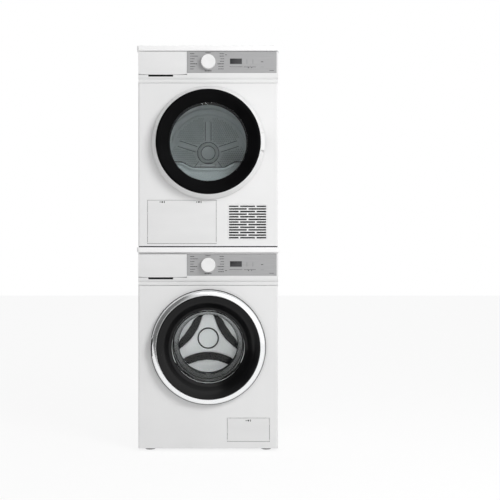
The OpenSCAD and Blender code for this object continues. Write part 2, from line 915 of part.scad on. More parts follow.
// Three-armed star: what is left of a disc outside three circles
star_far = 288;
star_cut = 226;
module star(d0, d1, inset) {
    plate(0, washer_zc, d0, d1) difference() {
        union() {
            circle(116 - inset);
            for (a = [90:120:330]) {
                rotate(a) translate([116, 0]) circle(24 - inset);
            }
        }
        for (a = [30:120:270]) {
            rotate(a) translate([star_far, 0]) circle(star_cut + inset);
        }
    }
}

module washer_drum_back() {
    t = 2;
    color(STEEL) {
        rod(0, washer_zc, drum_r - drum_t, back_floor, back_floor + drum_t);
        difference() {
            star(drum_rear, back_floor, 0);
            star(drum_rear + t, back_floor + 1, t);
        }
        for (a = [30:120:270]) {
            plate(0, washer_zc, back_floor - 6, back_floor) intersection() {
                circle(drum_r - 22);
                difference() {
                    rotate(a) translate([star_far, 0]) circle(star_cut - 40);
                    rotate(a) translate([star_far, 0]) circle(star_cut - 44);
                }
            }
        }
        rod(0, washer_zc, 44, drum_rear - 3, drum_rear);
    }
}

module washer_lifters() {
    color(PLASTIC) for (a = [30:120:270]) {
        plate(0, washer_zc, drum_front + 34, drum_rear - 20) intersection() {
            circle(drum_r - drum_t - 0.05);
            rotate(a - 90) polygon([[-32, drum_r + 4], [-12, drum_r - 46], [12, drum_r - 46], [32, drum_r + 4]]);
        }
    }
}

// Cast spider behind the drum with the drum's shaft
module washer_drum_shaft() {
    d0 = back_floor + drum_t;
    color(ZINC) {
        plate(0, washer_zc, d0, d0 + 12) union() {
            circle(48);
            for (a = [90:120:330]) rotate(a) translate([0, -16]) square([drum_r - 12, 32]);
        }
        rod(0, washer_zc, shaft_r, d0 + 11, pulley_front + pulley_w + 4);
    }
}

module washer_pulley() {
    z = washer_zc;
    color(ZINC) difference() {
        union() {
            tube(0, z, pulley_r, pulley_r - 10, pulley_front, pulley_front + pulley_w);
            rod(0, z, pulley_r - 8, pulley_front + 5, pulley_front + 9);
            rod(0, z, 32, pulley_front, pulley_front + pulley_w);
        }
        rod(0, z, shaft_r, pulley_front - 1, pulley_front + pulley_w + 1);
        for (a = [0:60:300]) rotate_about(z, a) rod(80, z, 26, pulley_front, pulley_front + 12);
    }
}

// Turn children about the washer's front-to-back axis
module rotate_about(z, a) {
    translate([0, 0, z]) rotate([0, a, 0]) translate([0, 0, -z]) children();
}

module washer_motor_pulley() {
    x = washer_motor_x;
    z = washer_motor_z;
    color(STEEL) {
        rod(x, z, washer_motor_shaft_r, tub_rear - 135, pulley_front + pulley_w);
        tube(x, z, motor_pulley_r, washer_motor_shaft_r, pulley_front, pulley_front + pulley_w);
    }
}

module washer_counterweight() {
    color(GREY) turned(0, washer_zc) polygon([
        [gasket_r + 6, 44], [gasket_r + 56, 44], [gasket_r + 60, 48],
        [gasket_r + 60, tub_front], [gasket_r + 6, tub_front]
    ]);
}

// Where the springs hang: between the tub's lugs and the cabinet's shelves
spring_x = 215;
spring_d = 346;
spring_low = washer_zc + 200;
spring_high = washer_ft - 20;
module spring_shelves() {
    for (s = [-1, 1]) on_side(s) {
        bar(-in_w, -spring_x + 12, spring_d - 12, spring_d + 12, spring_high, spring_high + 2);
    }
}

module washer_suspension() {
    wire = 2;
    turns = 14;
    coil_l = turns * 3.6;
    color(ZINC) for (s = [-1, 1]) {
        translate([s * spring_x, front_y + spring_d, spring_low + 50]) rotate_extrude() {
            for (i = [0:turns - 1]) translate([12, 3 + i * 3.6]) circle(wire, $fn = 24);
        }
        translate([s * spring_x, front_y + spring_d, spring_low]) cylinder(r = wire, h = 52);
        translate([s * spring_x, front_y + spring_d, spring_low + 50 + coil_l])
            cylinder(r = wire, h = spring_high - spring_low - 50 - coil_l);
        for (z = [spring_low + 50, spring_low + 49 + coil_l]) {
            translate([s * spring_x, front_y + spring_d, z]) cylinder(r = 12, h = 3);
        }
        translate([s * 200, front_y + 260, washer_z + pan_t]) cylinder(r = 14, h = 110);
        translate([s * 200, front_y + 260, washer_z + pan_t + 109])
            cylinder(r = 6, h = washer_door_h - 200 - pan_t - 109);
    }
}

module drain_pump() {
    color(PLASTIC) {
        difference() {
            rod(pump_x, pump_z, filter_r + 5, 18, 118);
            rod(pump_x, pump_z, filter_r, 17, 112);
        }
        rod(pump_x, pump_z, 34, 118, 175);
        bar(pump_x - 20, pump_x + 20, 60, 100, washer_z + pan_t, pump_z - filter_r);
    }
}

module pump_filter_cap() {
    color(PLASTIC) {
        rod(pump_x, pump_z, filter_r - filter_fit, 17, 40);
        rod(pump_x, pump_z, filter_r + 5, 13, 17);
        bar(pump_x - 26, pump_x + 26, 8, 14, pump_z - 4, pump_z + 4);
        difference() {
            rod(pump_x, pump_z, 22, 39, 105);
            rod(pump_x, pump_z, 20, 41, 106);
        }
    }
}

module pump_flap() {
    color(WHITE) flap(pump_x - pump_flap_w / 2, pump_flap_w, pump_flap_z, pump_flap_h);
}

module rear_water_fittings() {
    z = washer_ft - fitting_drop;
    neck = 1.5;
    color(PLASTIC) {
        difference() {
            union() {
                rod(inlet_x, z, inlet_r, body_d - 1, body_d + fitting_l);
                rod(inlet_x, z, inlet_r + neck, body_d - 20, body_d);
            }
            rod(inlet_x, z, inlet_r - 4, body_d - 10, body_d + fitting_l + 1);
        }
        bar(inlet_x - 22, inlet_x + 22, body_d - 60, body_d - 19, z - 18, z + 18);
        difference() {
            union() {
                rod(-inlet_x, z, drain_r, body_d - 1, body_d + fitting_l);
                rod(-inlet_x, z, drain_r + neck, body_d - 30, body_d);
            }
            rod(-inlet_x, z, drain_r - 3, body_d - 25, body_d + fitting_l + 1);
        }
        rod(inlet_x, z, inlet_r + 10, body_d - 10, body_d - sheet_t);
        rod(-inlet_x, z, drain_r + 10, body_d - 10, body_d - sheet_t);
    }
}

// ----------------------------------------------------------------- the dryer

module dryer_rear_panel() {
    color(ZINC) rear_sheet(dryer_z, dryer_ft + dryer_top_gap, dryer_ft - fitting_drop);
}

module dryer_base() {
    color(BLACK) base_pan(dryer_z);
}

module dryer_worktop() {
    color(WHITE) worktop(dryer_ft + dryer_top_gap);
}

module dryer_front_panel() {
    color(WHITE) {
        difference() {
            front_tray(dryer_z, dryer_ft - fascia_h);
            rod(0, dryer_zc, dryer_hole_r, -1, return_d);
            hook_slot(-1, dryer_zc);
            flap_hole(exchanger_flap_x, exchanger_flap_w, exchanger_flap_z, exchanger_flap_h);
            grille_block(grille_frame + 0.3, -1, return_d);
        }
        opening_lip(dryer_zc, dryer_hole_r);
        flap_tabs(exchanger_flap_x, exchanger_flap_w, exchanger_flap_z);
    }
}

// Block the size of the slotted area, grown by g
module grille_block(g, d0, d1) {
    bar(grille_x - g, grille_x + grille_w + g, d0, d1, grille_z - g, grille_z + grille_h + g);
}

// Slots of one row: three across, or two across in every other row
module grille_row(i) {
    z = grille_z + i * grille_pitch;
    n = i % 2 == 0 ? 3 : 2;
    end_w = n == 3 ? 40 : (grille_w - rib_w) / 2;
    mid_w = grille_w - 2 * end_w - 2 * rib_w;
    bar(grille_x, grille_x + end_w, -1, 6, z, z + slot_h);
    bar(grille_x + grille_w - end_w, grille_x + grille_w, -1, 6, z, z + slot_h);
    if (n == 3) bar(grille_x + end_w + rib_w, grille_x + end_w + rib_w + mid_w, -1, 6, z, z + slot_h);
}

module dryer_grille() {
    color(WHITE) difference() {
        union() {
            grille_block(grille_frame, 0, 3);
            grille_block(grille_frame + 5, sheet_t, 3);
        }
        for (i = [0:grille_rows - 1]) grille_row(i);
    }
}

module dryer_fascia() {
    color(WHITE) fascia(dryer_ft);
}

module dryer_knob() {
    color(WHITE) dial(dryer_ft);
}

module water_tank() {
    z1 = dryer_ft - tray_top_drop;
    z0 = z1 - tray_h;
    t = tray_t;
    color(WHITE) {
        drawer_face(dryer_ft);
        difference() {
            bar(tray_x0, tray_x1, 3, 3 + tank_d, z0, z1);
            bar(tray_x0 + t, tray_x1 - t, 3 + t, 3 + tank_d - t, z0 + t, z1 - t);
            translate([tray_x1 - 40, front_y + 30, z1 - t - 1]) cylinder(r = 12, h = t + 2);
        }
        bar(tray_x0 + 12, tray_x1 - 12, -band_proud + 3, 3, z1 - 30, z1 - 10);
    }
}

module tank_housing() {
    color(PLASTIC) drawer_case(dryer_ft, 3 + tank_d);
}

module dryer_door_ring() {
    r = dryer_ring_r;
    p = dryer_door_proud;
    color(WHITE) difference() {
        turned(0, dryer_zc) polygon([
            [r, -6], [rim_r, -p + 7], [rim_r - 1.5, -p + 4.5], [rim_r - 6, -p + 4.5],
            [rim_r - 6, -p + 8], [rim_r - 4, -p + 10], [r - 4, -6]
        ]);
        hinge_notch(1, r, dryer_zc, p - 21);
    }
}

module dryer_door_bezel() {
    p = dryer_door_proud;
    color(BLACK) turned(0, dryer_zc) polygon([
        [rim_r - 2, -p + 4.3], [rim_r - 5, -p + 1], [rim_r - 10, -p], [rim_r - 19, -p + 1.5],
        [rim_r - 24, -p + 4], [window_r, -p + 15], [window_r, -p + 18.4],
        [rim_r - 24, -p + 8], [rim_r - 6.3, -p + 4.3]
    ]);
}

module dryer_door_glass() {
    p = dryer_door_proud;
    color(SMOKE) rod(0, dryer_zc, window_r + 8, -p + 18.4, -p + 18.4 + glass_t);
}

// Inner frame that clamps the window and carries the hinge arm and the hook
module dryer_door_frame() {
    p = dryer_door_proud;
    w = window_r;
    d = -p + 18.4 + glass_t;
    color(PLASTIC) {
        turned(0, dryer_zc) polygon([
            [rim_r - 12, -p + 10], [rim_r - 9, -p + 10], [rim_r - 9, -4], [w + 7, -4],
            [w + 7, 14], [w + 4, 16], [w - 6, 16], [w - 6, 13], [w + 3, 13], [w + 3, d + 3],
            [w - 3, d + 3], [w - 3, d], [w + 8.4, d], [w + 8.4, -7], [rim_r - 12, -7]
        ]);
        hinge_arm(1, dryer_ring_r, dryer_zc, rim_r - 12, -29, -17);
        door_hook(-1, dryer_zc);
    }
}

module dryer_hinge() {
    color(ZINC) hinge_bracket(1, dryer_ring_r, dryer_zc);
}

// Outline of the filter housing at the foot of the throat
module filter_outline() {
    top = filter_top - dryer_zc;
    difference() {
        intersection() {
            circle(throat_r);
            translate([-big / 2, top - big]) square([big, big]);
        }
        translate([-92, top - dip]) square([184, dip + 1]);
    }
}

module dryer_bulkheads() {
    z0 = dryer_z + 160;
    z1 = dryer_ft - fascia_h + 30;
    w = in_w - 2;
    d_rear = dry_rear + 36;
    color(PLASTIC) {
        difference() {
            union() {
                difference() {
                    union() {
                        bar(-w, w, plate_d, plate_d + 3, z0, z1);
                        rod(0, dryer_zc, throat_r + 3, 6, filter_rear);
                        rod(0, dryer_zc, throat_r + 24, plate_d, dry_front + 8);
                    }
                    rod(0, dryer_zc, throat_r, 5, filter_rear + 1);
                    rod(0, dryer_zc, throat_r + 20, filter_rear - 4, dry_front + 9);
                }
                plate(0, dryer_zc, filter_front, filter_rear) filter_outline();
                bar(-95, 95, filter_front, filter_rear, dryer_zc - throat_r - 34,
                    dryer_zc - throat_r + 10);
            }
            cassette_slot();
        }
        bar(-w, w, d_rear, d_rear + 3, z0, dryer_ft - 100);
        difference() {
            rod(0, dryer_zc, dry_shaft_r + 18, dry_rear + 12, d_rear);
            rod(0, dryer_zc, dry_shaft_r + shaft_fit, dry_rear + 11, d_rear - 3);
        }
    }
}

// Slot that the lint filter slides up out of
module cassette_slot() {
    w = cassette_w / 2 + cassette_fit;
    z0 = filter_top - dip - cassette_h + 14;
    bar(-w, w, cassette_d - cassette_fit, cassette_d + cassette_t + cassette_fit, z0 - 1, filter_top + 1);
}

module lint_filter() {
    w = cassette_w / 2;
    z0 = filter_top - dip - cassette_h + 14;
    d0 = cassette_d;
    d1 = cassette_d + cassette_t;
    color(GREY) {
        difference() {
            bar(-w, w, d0, d1, z0, z0 + cassette_h - 14);
            bar(-w + 8, w - 8, d0 - 1, d1 + 1, z0 + 8, z0 + cassette_h - 30);
        }
        bar(-w + 8, w - 8, d0 + 4, d0 + 5.5, z0 + 8, z0 + cassette_h - 30);
        bar(-34, 34, d0 + 2, d1 - 2, z0 + cassette_h - 14, z0 + cassette_h);
    }
}

module dryer_drum() {
    lip = throat_r + 36;
    color(STEEL) turned(0, dryer_zc) polygon([
        [lip, dry_front], [dry_drum_r - 10, dry_front], [dry_drum_r, dry_front + 10],
        [dry_drum_r, dry_rear + 2], [dry_drum_r - drum_t, dry_rear + 2],
        [dry_drum_r - drum_t, dry_front + 10.6], [dry_drum_r - 10.6, dry_front + drum_t],
        [lip, dry_front + drum_t]
    ]);
}

module dryer_drum_back() {
    step = 10;
    color(STEEL) {
        tube(0, dryer_zc, dry_drum_r - drum_t, 185, dry_rear - step, dry_rear - step + 2);
        tube(0, dryer_zc, 187, 185, dry_rear - step, dry_rear + 2);
        rod(0, dryer_zc, 186, dry_rear, dry_rear + 2);
        tube(0, dryer_zc, 165, 159, dry_rear - 4, dry_rear);
        for (i = [0:4]) {
            plate(0, dryer_zc, dry_rear - 6, dry_rear) rotate(18 + i * 72)
                translate([38, -10.5]) square([98, 21]);
        }
        tube(0, dryer_zc, 43, 30, dry_rear - 9, dry_rear);
        rod(0, dryer_zc, 30, dry_rear - 3, dry_rear);
        rod(0, dryer_zc, dry_shaft_r, dry_rear + 1, dry_rear + 32);
    }
}

module dryer_lifters() {
    r = dry_drum_r - drum_t;
    color(PLASTIC) for (a = [30:120:270]) {
        plate(0, dryer_zc, dry_front + 30, dry_rear - 24) intersection() {
            circle(r - 0.05);
            rotate(a - 90) polygon([[-30, r + 6], [-10, r - 44], [10, r - 44], [30, r + 6]]);
        }
    }
}

module dryer_drum_seal() {
    color(GREY) tube(0, dryer_zc, throat_r + 35.5, throat_r + 24, dry_front - 8, dry_front + 8);
}

// Fan, shaft and belt pulley on one motor
module dryer_fan() {
    x = dryer_motor_x;
    z = dryer_motor_z;
    color(PLASTIC) {
        rod(x, z, dryer_motor_shaft_r, 60, dry_belt_d + 12);
        tube(x, z, motor_pulley_r, dryer_motor_shaft_r - 1, dry_belt_d - 4, dry_belt_d + 12);
        rod(x, z, 58, 108, 111);
        tube(x, z, 16, dryer_motor_shaft_r - 1, 70, 110);
        for (i = [0:13]) {
            translate([x, front_y, z]) rotate([0, i * 360 / 14, 0]) translate([34, 72, -1]) cube([22, 37, 2]);
        }
    }
}

module heat_exchanger() {
    x0 = exchanger_flap_x + 26;
    x1 = exchanger_flap_x + exchanger_flap_w - 16;
    z0 = dryer_z + pan_t;
    z1 = dryer_z + 128;
    fins = 14;
    color(STEEL) for (d0 = [40, 225]) {
        difference() {
            bar(x0, x1, d0, d0 + 150, z0, z1);
            for (i = [0:fins - 1]) {
                x = x0 + 12 + i * (x1 - x0 - 24) / (fins - 1);
                bar(x - 4, x + 4, d0 - 1, d0 + 151, z0 + 10, z1 - 10);
            }
        }
        for (i = [0:3]) {
            translate([x0 + 4, front_y + d0 + 30 + i * 30, (z0 + z1) / 2]) rotate([0, 90, 0])
                cylinder(r = 4, h = x1 - x0 - 8);
        }
    }
}

module exchanger_flap() {
    color(WHITE) flap(exchanger_flap_x, exchanger_flap_w, exchanger_flap_z, exchanger_flap_h);
}

module compressor() {
    color(BLACK) {
        translate([190, front_y + 470, dryer_z + pan_t]) rotate_extrude() polygon([
            [0, 0], [30, 0], [30, 8], [52, 8], [52, 108], [44, 122], [24, 130], [0, 130]
        ]);
    }
}

// -------------------------------------------------------------- show the nodes

cabinet_sides();
control_boards();
dial_panels();
drive_belts();
drive_motors();
stacking_kit();
levelling_feet();
door_locks();
washer_rear_panel();
washer_base();
washer_worktop();
washer_front_panel();
washer_fascia();
washer_knob();
detergent_drawer_front();
detergent_drawer_tray();
drawer_housing();
washer_door_ring();
washer_door_bezel();
washer_door_glass();
washer_door_frame();
washer_hinge();
washer_gasket();
washer_tub();
washer_drum();
washer_drum_back();
washer_lifters();
washer_drum_shaft();
washer_pulley();
washer_motor_pulley();
washer_counterweight();
washer_suspension();
drain_pump();
pump_filter_cap();
pump_flap();
rear_water_fittings();
dryer_rear_panel();
dryer_base();
dryer_worktop();
dryer_front_panel();
dryer_grille();
dryer_fascia();
dryer_knob();
water_tank();
tank_housing();
dryer_door_ring();
dryer_door_bezel();
dryer_door_glass();
dryer_door_frame();
dryer_hinge();
dryer_bulkheads();
dryer_drum();
dryer_drum_back();
dryer_lifters();
dryer_drum_seal();
dryer_fan();
lint_filter();
heat_exchanger();
exchanger_flap();
compressor();
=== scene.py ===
import math

import bmesh
import bpy
import numpy as np
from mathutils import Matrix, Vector


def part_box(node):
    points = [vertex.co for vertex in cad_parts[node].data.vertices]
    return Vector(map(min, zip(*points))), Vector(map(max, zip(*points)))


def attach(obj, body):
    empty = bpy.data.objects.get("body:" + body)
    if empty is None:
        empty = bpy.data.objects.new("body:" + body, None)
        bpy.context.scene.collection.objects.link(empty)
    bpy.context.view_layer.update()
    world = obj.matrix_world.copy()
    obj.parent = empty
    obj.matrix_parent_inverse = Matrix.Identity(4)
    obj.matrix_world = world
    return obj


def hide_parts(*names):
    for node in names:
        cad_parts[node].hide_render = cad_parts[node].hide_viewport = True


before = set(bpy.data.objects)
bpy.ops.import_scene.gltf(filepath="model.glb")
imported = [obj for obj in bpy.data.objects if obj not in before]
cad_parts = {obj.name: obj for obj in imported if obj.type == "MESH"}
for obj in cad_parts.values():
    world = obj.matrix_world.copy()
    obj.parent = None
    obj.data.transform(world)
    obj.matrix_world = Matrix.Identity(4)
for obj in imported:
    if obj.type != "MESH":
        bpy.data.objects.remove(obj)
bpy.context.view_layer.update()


# ---------------------------------------------------------------------- camera
# A long lens straight in front of the stack, level with the joint between the
# machines. The sideways shift leaves the stack left of the middle of the view.
MM = 0.001
front_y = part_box("washer_front_panel")[0].y / MM
stack_joint_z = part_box("stacking_kit")[0].z / MM
camera_distance = 4131
frame_width = 2100
eye_drop = 14

camera_data = bpy.data.cameras.new("front_camera")
camera_data.sensor_width = 36
camera_data.lens = camera_data.sensor_width * camera_distance / frame_width
camera_data.shift_x = 0.0836
camera_data.shift_y = 0.0012
camera_data.clip_end = 30
camera = bpy.data.objects.new("front_camera", camera_data)
camera.location = (0, (front_y - camera_distance) * MM, (stack_joint_z - eye_drop) * MM)
camera.rotation_euler = (math.radians(90), 0, 0)
bpy.context.scene.collection.objects.link(camera)
bpy.context.scene.camera = camera


# ---------------------------------------------------------------------- studio
# A white floor in an even surround, lit by a soft lamp high on the right and a
# weaker one in front. Polished parts mirror a surround that is bright on the right
# and dim on the left, with a dark card in front on the left that only they show.
def linear(hex_colour):
    """One sRGB hex colour as linear red, green, blue and full alpha."""
    channels = [int(hex_colour[i:i + 2], 16) / 255 for i in (1, 3, 5)]
    return [c / 12.92 if c <= 0.04045 else ((c + 0.055) / 1.055) ** 2.4 for c in channels] + [1.0]


def add_node(tree, kind, values=None, links=None, ramp=None, **settings):
    """A node with its settings, input values, incoming links and colour stops."""
    node = tree.nodes.new(kind)
    for name, value in settings.items():
        setattr(node, name, value)
    for name, value in (values or {}).items():
        node.inputs[name].default_value = value
    for name, source in (links or {}).items():
        tree.links.new(source, node.inputs[name])
    for i, (position, colour) in enumerate(ramp or []):
        stops = node.color_ramp.elements
        stop = stops[i] if i < len(stops) else stops.new(position)
        stop.position = position
        stop.color = colour
    return node


def white_surround():
    """An even sky for matt surfaces and plain white for the camera. Mirrored rays see
    strengths that follow the dot product of their direction and (1.7, 0.1, 0.5)."""
    world = bpy.data.worlds.new("white_surround")
    world.use_nodes = True
    tree = world.node_tree
    tree.nodes.clear()
    direction = add_node(tree, "ShaderNodeTexCoord").outputs["Generated"]
    towards = add_node(tree, "ShaderNodeVectorMath", {1: (1.7, 0.1, 0.5)}, {0: direction},
                       operation="DOT_PRODUCT").outputs["Value"]
    mirrored = add_node(tree, "ShaderNodeMapRange", {"From Min": -0.32, "From Max": 0.12,
                        "To Min": 0.1, "To Max": 1.3}, {"Value": towards}).outputs["Result"]
    path = add_node(tree, "ShaderNodeLightPath")
    white = linear("#ffffff")
    even = add_node(tree, "ShaderNodeBackground", {"Color": white, "Strength": 0.46})
    sharp = add_node(tree, "ShaderNodeBackground", {"Color": white}, {"Strength": mirrored})
    plain = add_node(tree, "ShaderNodeBackground", {"Color": white, "Strength": 1.0})
    lit = add_node(tree, "ShaderNodeMixShader",
                   links={0: path.outputs["Is Glossy Ray"], 1: even.outputs[0], 2: sharp.outputs[0]})
    mixed = add_node(tree, "ShaderNodeMixShader",
                     links={0: path.outputs["Is Camera Ray"], 1: lit.outputs[0], 2: plain.outputs[0]})
    add_node(tree, "ShaderNodeOutputWorld", links={"Surface": mixed.outputs[0]})
    bpy.context.scene.world = world


def soft_lamp(name, location, target, size, power):
    """A square area lamp at location, turned to face target, unseen in mirrors."""
    data = bpy.data.lights.new(name, "AREA")
    data.size = size
    data.energy = power
    lamp = bpy.data.objects.new(name, data)
    lamp.location = location
    lamp.visible_camera = False
    lamp.visible_glossy = False
    lamp.rotation_euler = (Vector(target) - Vector(location)).to_track_quat("-Z", "Y").to_euler()
    bpy.context.scene.collection.objects.link(lamp)


bpy.context.scene.view_settings.view_transform = "Standard"
white_surround()
soft_lamp("high_right_lamp", (2.0, -2.9, 2.4), (0.0, -0.2, 0.9), 1.3, 60)
soft_lamp("front_lamp", (0.1, -5.2, 0.86), (0.0, 0.0, 0.86), 0.7, 18)


def new_material(name, base, roughness, **sockets):
    """A material whose principled shader has these constants set on its own sockets."""
    material = bpy.data.materials.new(name)
    material.use_nodes = True
    shader = material.node_tree.nodes["Principled BSDF"]
    shader.inputs["Base Color"].default_value = linear(base)
    shader.inputs["Roughness"].default_value = roughness
    for socket, value in sockets.items():
        shader.inputs[socket.replace("_", " ")].default_value = value
    material.diffuse_color = linear(base)
    return material, material.node_tree, shader


def place_pattern(tree, pitch_x, pitch_y=None, pitch_z=None):
    """Object coordinates scaled so that one unit is the given pitch in millimetres."""
    scale = [1 / (p * MM) for p in (pitch_x, pitch_y or pitch_x, pitch_z or pitch_x)]
    place = add_node(tree, "ShaderNodeTexCoord").outputs["Object"]
    return add_node(tree, "ShaderNodeMapping", {"Scale": scale}, {"Vector": place}).outputs["Vector"]


def paint_variation(tree, shader, pattern, low, high, socket="Base Color"):
    """Runs a pattern through two colour stops into one socket of the shader."""
    ramp = add_node(tree, "ShaderNodeValToRGB", links={"Fac": pattern},
                    ramp=[(0.3, linear(low)), (0.7, linear(high))])
    tree.links.new(ramp.outputs["Color"], shader.inputs[socket])


def vary_roughness(tree, shader, pattern, low, high):
    """Maps a 0 to 1 pattern onto a range of roughness."""
    spread = add_node(tree, "ShaderNodeMapRange", {"From Min": 0.3, "From Max": 0.7,
                      "To Min": low, "To Max": high}, {"Value": pattern})
    tree.links.new(spread.outputs["Result"], shader.inputs["Roughness"])


def raise_relief(tree, shader, pattern, height_mm, strength=1.0):
    """Bump of the given height in millimetres from a 0 to 1 pattern."""
    bump = add_node(tree, "ShaderNodeBump", {"Distance": height_mm * MM, "Strength": strength},
                    {"Height": pattern})
    tree.links.new(bump.outputs["Normal"], shader.inputs["Normal"])


def floor_paint():
    """Matt white paint. All but its matt bounce is four fifths lit from within, so that
    it runs into the white surround and keeps only a faint shadow."""
    material, tree, shader = new_material("matt_white_floor_paint", "#e4e4e4", 0.8)
    grain = add_node(tree, "ShaderNodeTexNoise", {"Scale": 1.0, "Detail": 4.0},
                     {"Vector": place_pattern(tree, 90)}).outputs["Fac"]
    paint_variation(tree, shader, grain, "#e2e2e2", "#e6e6e6")
    bounce = add_node(tree, "ShaderNodeLightPath").outputs["Is Diffuse Ray"]
    share = add_node(tree, "ShaderNodeMapRange", {"To Min": 0.8, "To Max": 0.0},
                     {"Value": bounce}).outputs["Result"]
    glow = add_node(tree, "ShaderNodeEmission", {"Color": linear("#ffffff"), "Strength": 1.08})
    mixed = add_node(tree, "ShaderNodeMixShader", links={0: share, 1: shader.outputs[0], 2: glow.outputs[0]})
    tree.links.new(mixed.outputs[0], tree.nodes["Material Output"].inputs["Surface"])
    return material


def studio_sheet(name, corners, material):
    """One flat sheet with four corners that belongs to the studio."""
    mesh = bpy.data.meshes.new(name)
    mesh.from_pydata(corners, [], [(0, 1, 2, 3)])
    mesh.materials.append(material)
    sheet = bpy.data.objects.new(name, mesh)
    bpy.context.scene.collection.objects.link(sheet)
    return sheet


half = 14
studio_sheet("studio_floor", [(-half, -half, 0), (half, -half, 0), (half, half, 0), (-half, half, 0)],
             floor_paint())
left, right, foot, top, y = -3.2, -0.46, 0.01, 1.3, -2.5
dark_card = studio_sheet("studio_dark_card",
                         [(left, y, foot), (right, y, foot), (right, y, top), (left, y, top)],
                         new_material("matt_dark_card", "#4a4a4a", 0.9)[0])
for ray in ("camera", "diffuse", "transmission", "shadow"):
    setattr(dark_card, "visible_" + ray, False)


# ------------------------------------------------------------- cabinet sheets
# Side and front sheets of 1.2 mm steel, pressed and folded, then powder coated
# white. The baked powder leaves a soft gloss with a faint orange peel.
def powder_coated_steel():
    """White powder coat: peel about 3 mm across, drawn twice as coarse so that it shows."""
    material, tree, shader = new_material("white_powder_coated_steel", "#eeeeee", 0.36,
                                          Coat_Weight=0.25, Coat_Roughness=0.2, IOR=1.5)
    peel = add_node(tree, "ShaderNodeTexNoise", {"Scale": 1.0, "Detail": 2.0},
                    {"Vector": place_pattern(tree, 6)}).outputs["Fac"]
    cloud = add_node(tree, "ShaderNodeTexNoise", {"Scale": 1.0, "Detail": 3.0},
                     {"Vector": place_pattern(tree, 260)}).outputs["Fac"]
    paint_variation(tree, shader, cloud, "#ececec", "#f0f0f0")
    vary_roughness(tree, shader, cloud, 0.32, 0.4)
    raise_relief(tree, shader, peel, 0.05, 0.35)
    return material


white_steel = powder_coated_steel()


def coat_cad(material, *names):
    """Gives each named CAD node one material."""
    for name in names:
        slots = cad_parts[name].data.materials
        slots.clear()
        slots.append(material)


coat_cad(white_steel, "cabinet_sides", "washer_front_panel", "dryer_front_panel")


# ------------------------------------------------------------------- worktops
# Two boards faced with white melamine, their edges wrapped in a rounded band.
# The washer's one is under the joining frame, the dryer's is the top.
def mesh_piece(name, points_mm, faces, material, body, slot, sharp_deg=32):
    """An object from points in millimetres: doubles merged, faces turned outwards."""
    mesh = bpy.data.meshes.new(name)
    mesh.from_pydata(np.asarray(points_mm, float) * MM, [], faces)
    work = bmesh.new()
    work.from_mesh(mesh)
    bmesh.ops.remove_doubles(work, verts=work.verts, dist=2e-6)
    bmesh.ops.dissolve_degenerate(work, edges=work.edges, dist=1e-7)
    bmesh.ops.recalc_face_normals(work, faces=work.faces)
    work.to_mesh(mesh)
    work.free()
    mesh.polygons.foreach_set("use_smooth", np.ones(len(mesh.polygons), bool))
    mesh.set_sharp_from_angle(angle=math.radians(sharp_deg))
    mesh.materials.append(material)
    piece = bpy.data.objects.new(name, mesh)
    bpy.context.scene.collection.objects.link(piece)
    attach(piece, body)
    return piece


def box_mm(node):
    """Lowest and highest corners of a CAD node, in millimetres."""
    low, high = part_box(node)
    return np.array(low) / MM, np.array(high) / MM


def grid_faces(rows, columns, close_rows=False):
    """Quads of a rows x columns grid of points. Columns wrap round, and rows where asked."""
    i, j = np.meshgrid(np.arange(rows if close_rows else rows - 1), np.arange(columns), indexing="ij")
    i2, j2 = (i + 1) % rows, (j + 1) % columns
    quads = np.stack([i * columns + j, i * columns + j2, i2 * columns + j2, i2 * columns + j], -1)
    return quads.reshape(-1, 4).tolist()


def end_caps(rings, n):
    """One face over the first and one over the last of some rings of n points."""
    return [list(range(n)), list(range((rings - 1) * n, rings * n))]


def rounded_outline(half_a, half_b, r, steps=8):
    """Rounded rectangle about the origin, with a quarter circle of radius r at each corner."""
    r = max(r, 0.01)
    points = []
    for k, (sa, sb) in enumerate([(1, 1), (-1, 1), (-1, -1), (1, -1)]):
        turn = np.radians(90 * k + np.linspace(0, 90, steps + 1))
        a = sa * (half_a - r) + r * np.cos(turn)
        b = sb * (half_b - r) + r * np.sin(turn)
        points.append(np.stack([a, b], -1))
    return np.concatenate(points)


def rounded_block(centre, half, axis, r, edge, steps=4):
    """Closed block: an outline with corners of radius r carried along axis, drawn in by a
    quarter circle of radius edge at both ends, and capped. half is its half sizes in X, Y, Z."""
    plane = [k for k in range(3) if k != axis]
    turn = np.radians(np.linspace(0, 90, steps + 1))
    inset = np.concatenate([edge * (1 - np.sin(turn)), edge * (1 - np.sin(turn[::-1]))])
    along = np.concatenate([-half[axis] + edge * (1 - np.cos(turn)),
                            half[axis] - edge * (1 - np.cos(turn[::-1]))])
    rings = []
    for pull, height in zip(inset, along):
        ring = rounded_outline(half[plane[0]] - pull, half[plane[1]] - pull, max(r - pull, 0.05))
        points = np.zeros((len(ring), 3))
        points[:, plane[0]] = ring[:, 0]
        points[:, plane[1]] = ring[:, 1]
        points[:, axis] = height
        rings.append(points + np.array(centre))
    n = len(rings[0])
    return np.concatenate(rings), grid_faces(len(rings), n) + end_caps(len(rings), n)


def joined(parts):
    """Several (points, faces) pairs as one."""
    points, faces, start = [], [], 0
    for part_points, part_faces in parts:
        points.append(part_points)
        faces += [[v + start for v in face] for face in part_faces]
        start += len(part_points)
    return np.concatenate(points), faces


def white_melamine():
    """Melamine on chipboard: satin, with a fine pearl print about 2 mm across."""
    material, tree, shader = new_material("white_melamine_board", "#ededed", 0.42, IOR=1.5)
    pearl = add_node(tree, "ShaderNodeTexNoise", {"Scale": 1.0, "Detail": 3.0},
                     {"Vector": place_pattern(tree, 2.5)}).outputs["Fac"]
    paint_variation(tree, shader, pearl, "#fbfbfb", "#fefefe")
    raise_relief(tree, shader, pearl, 0.03, 0.4)
    return material


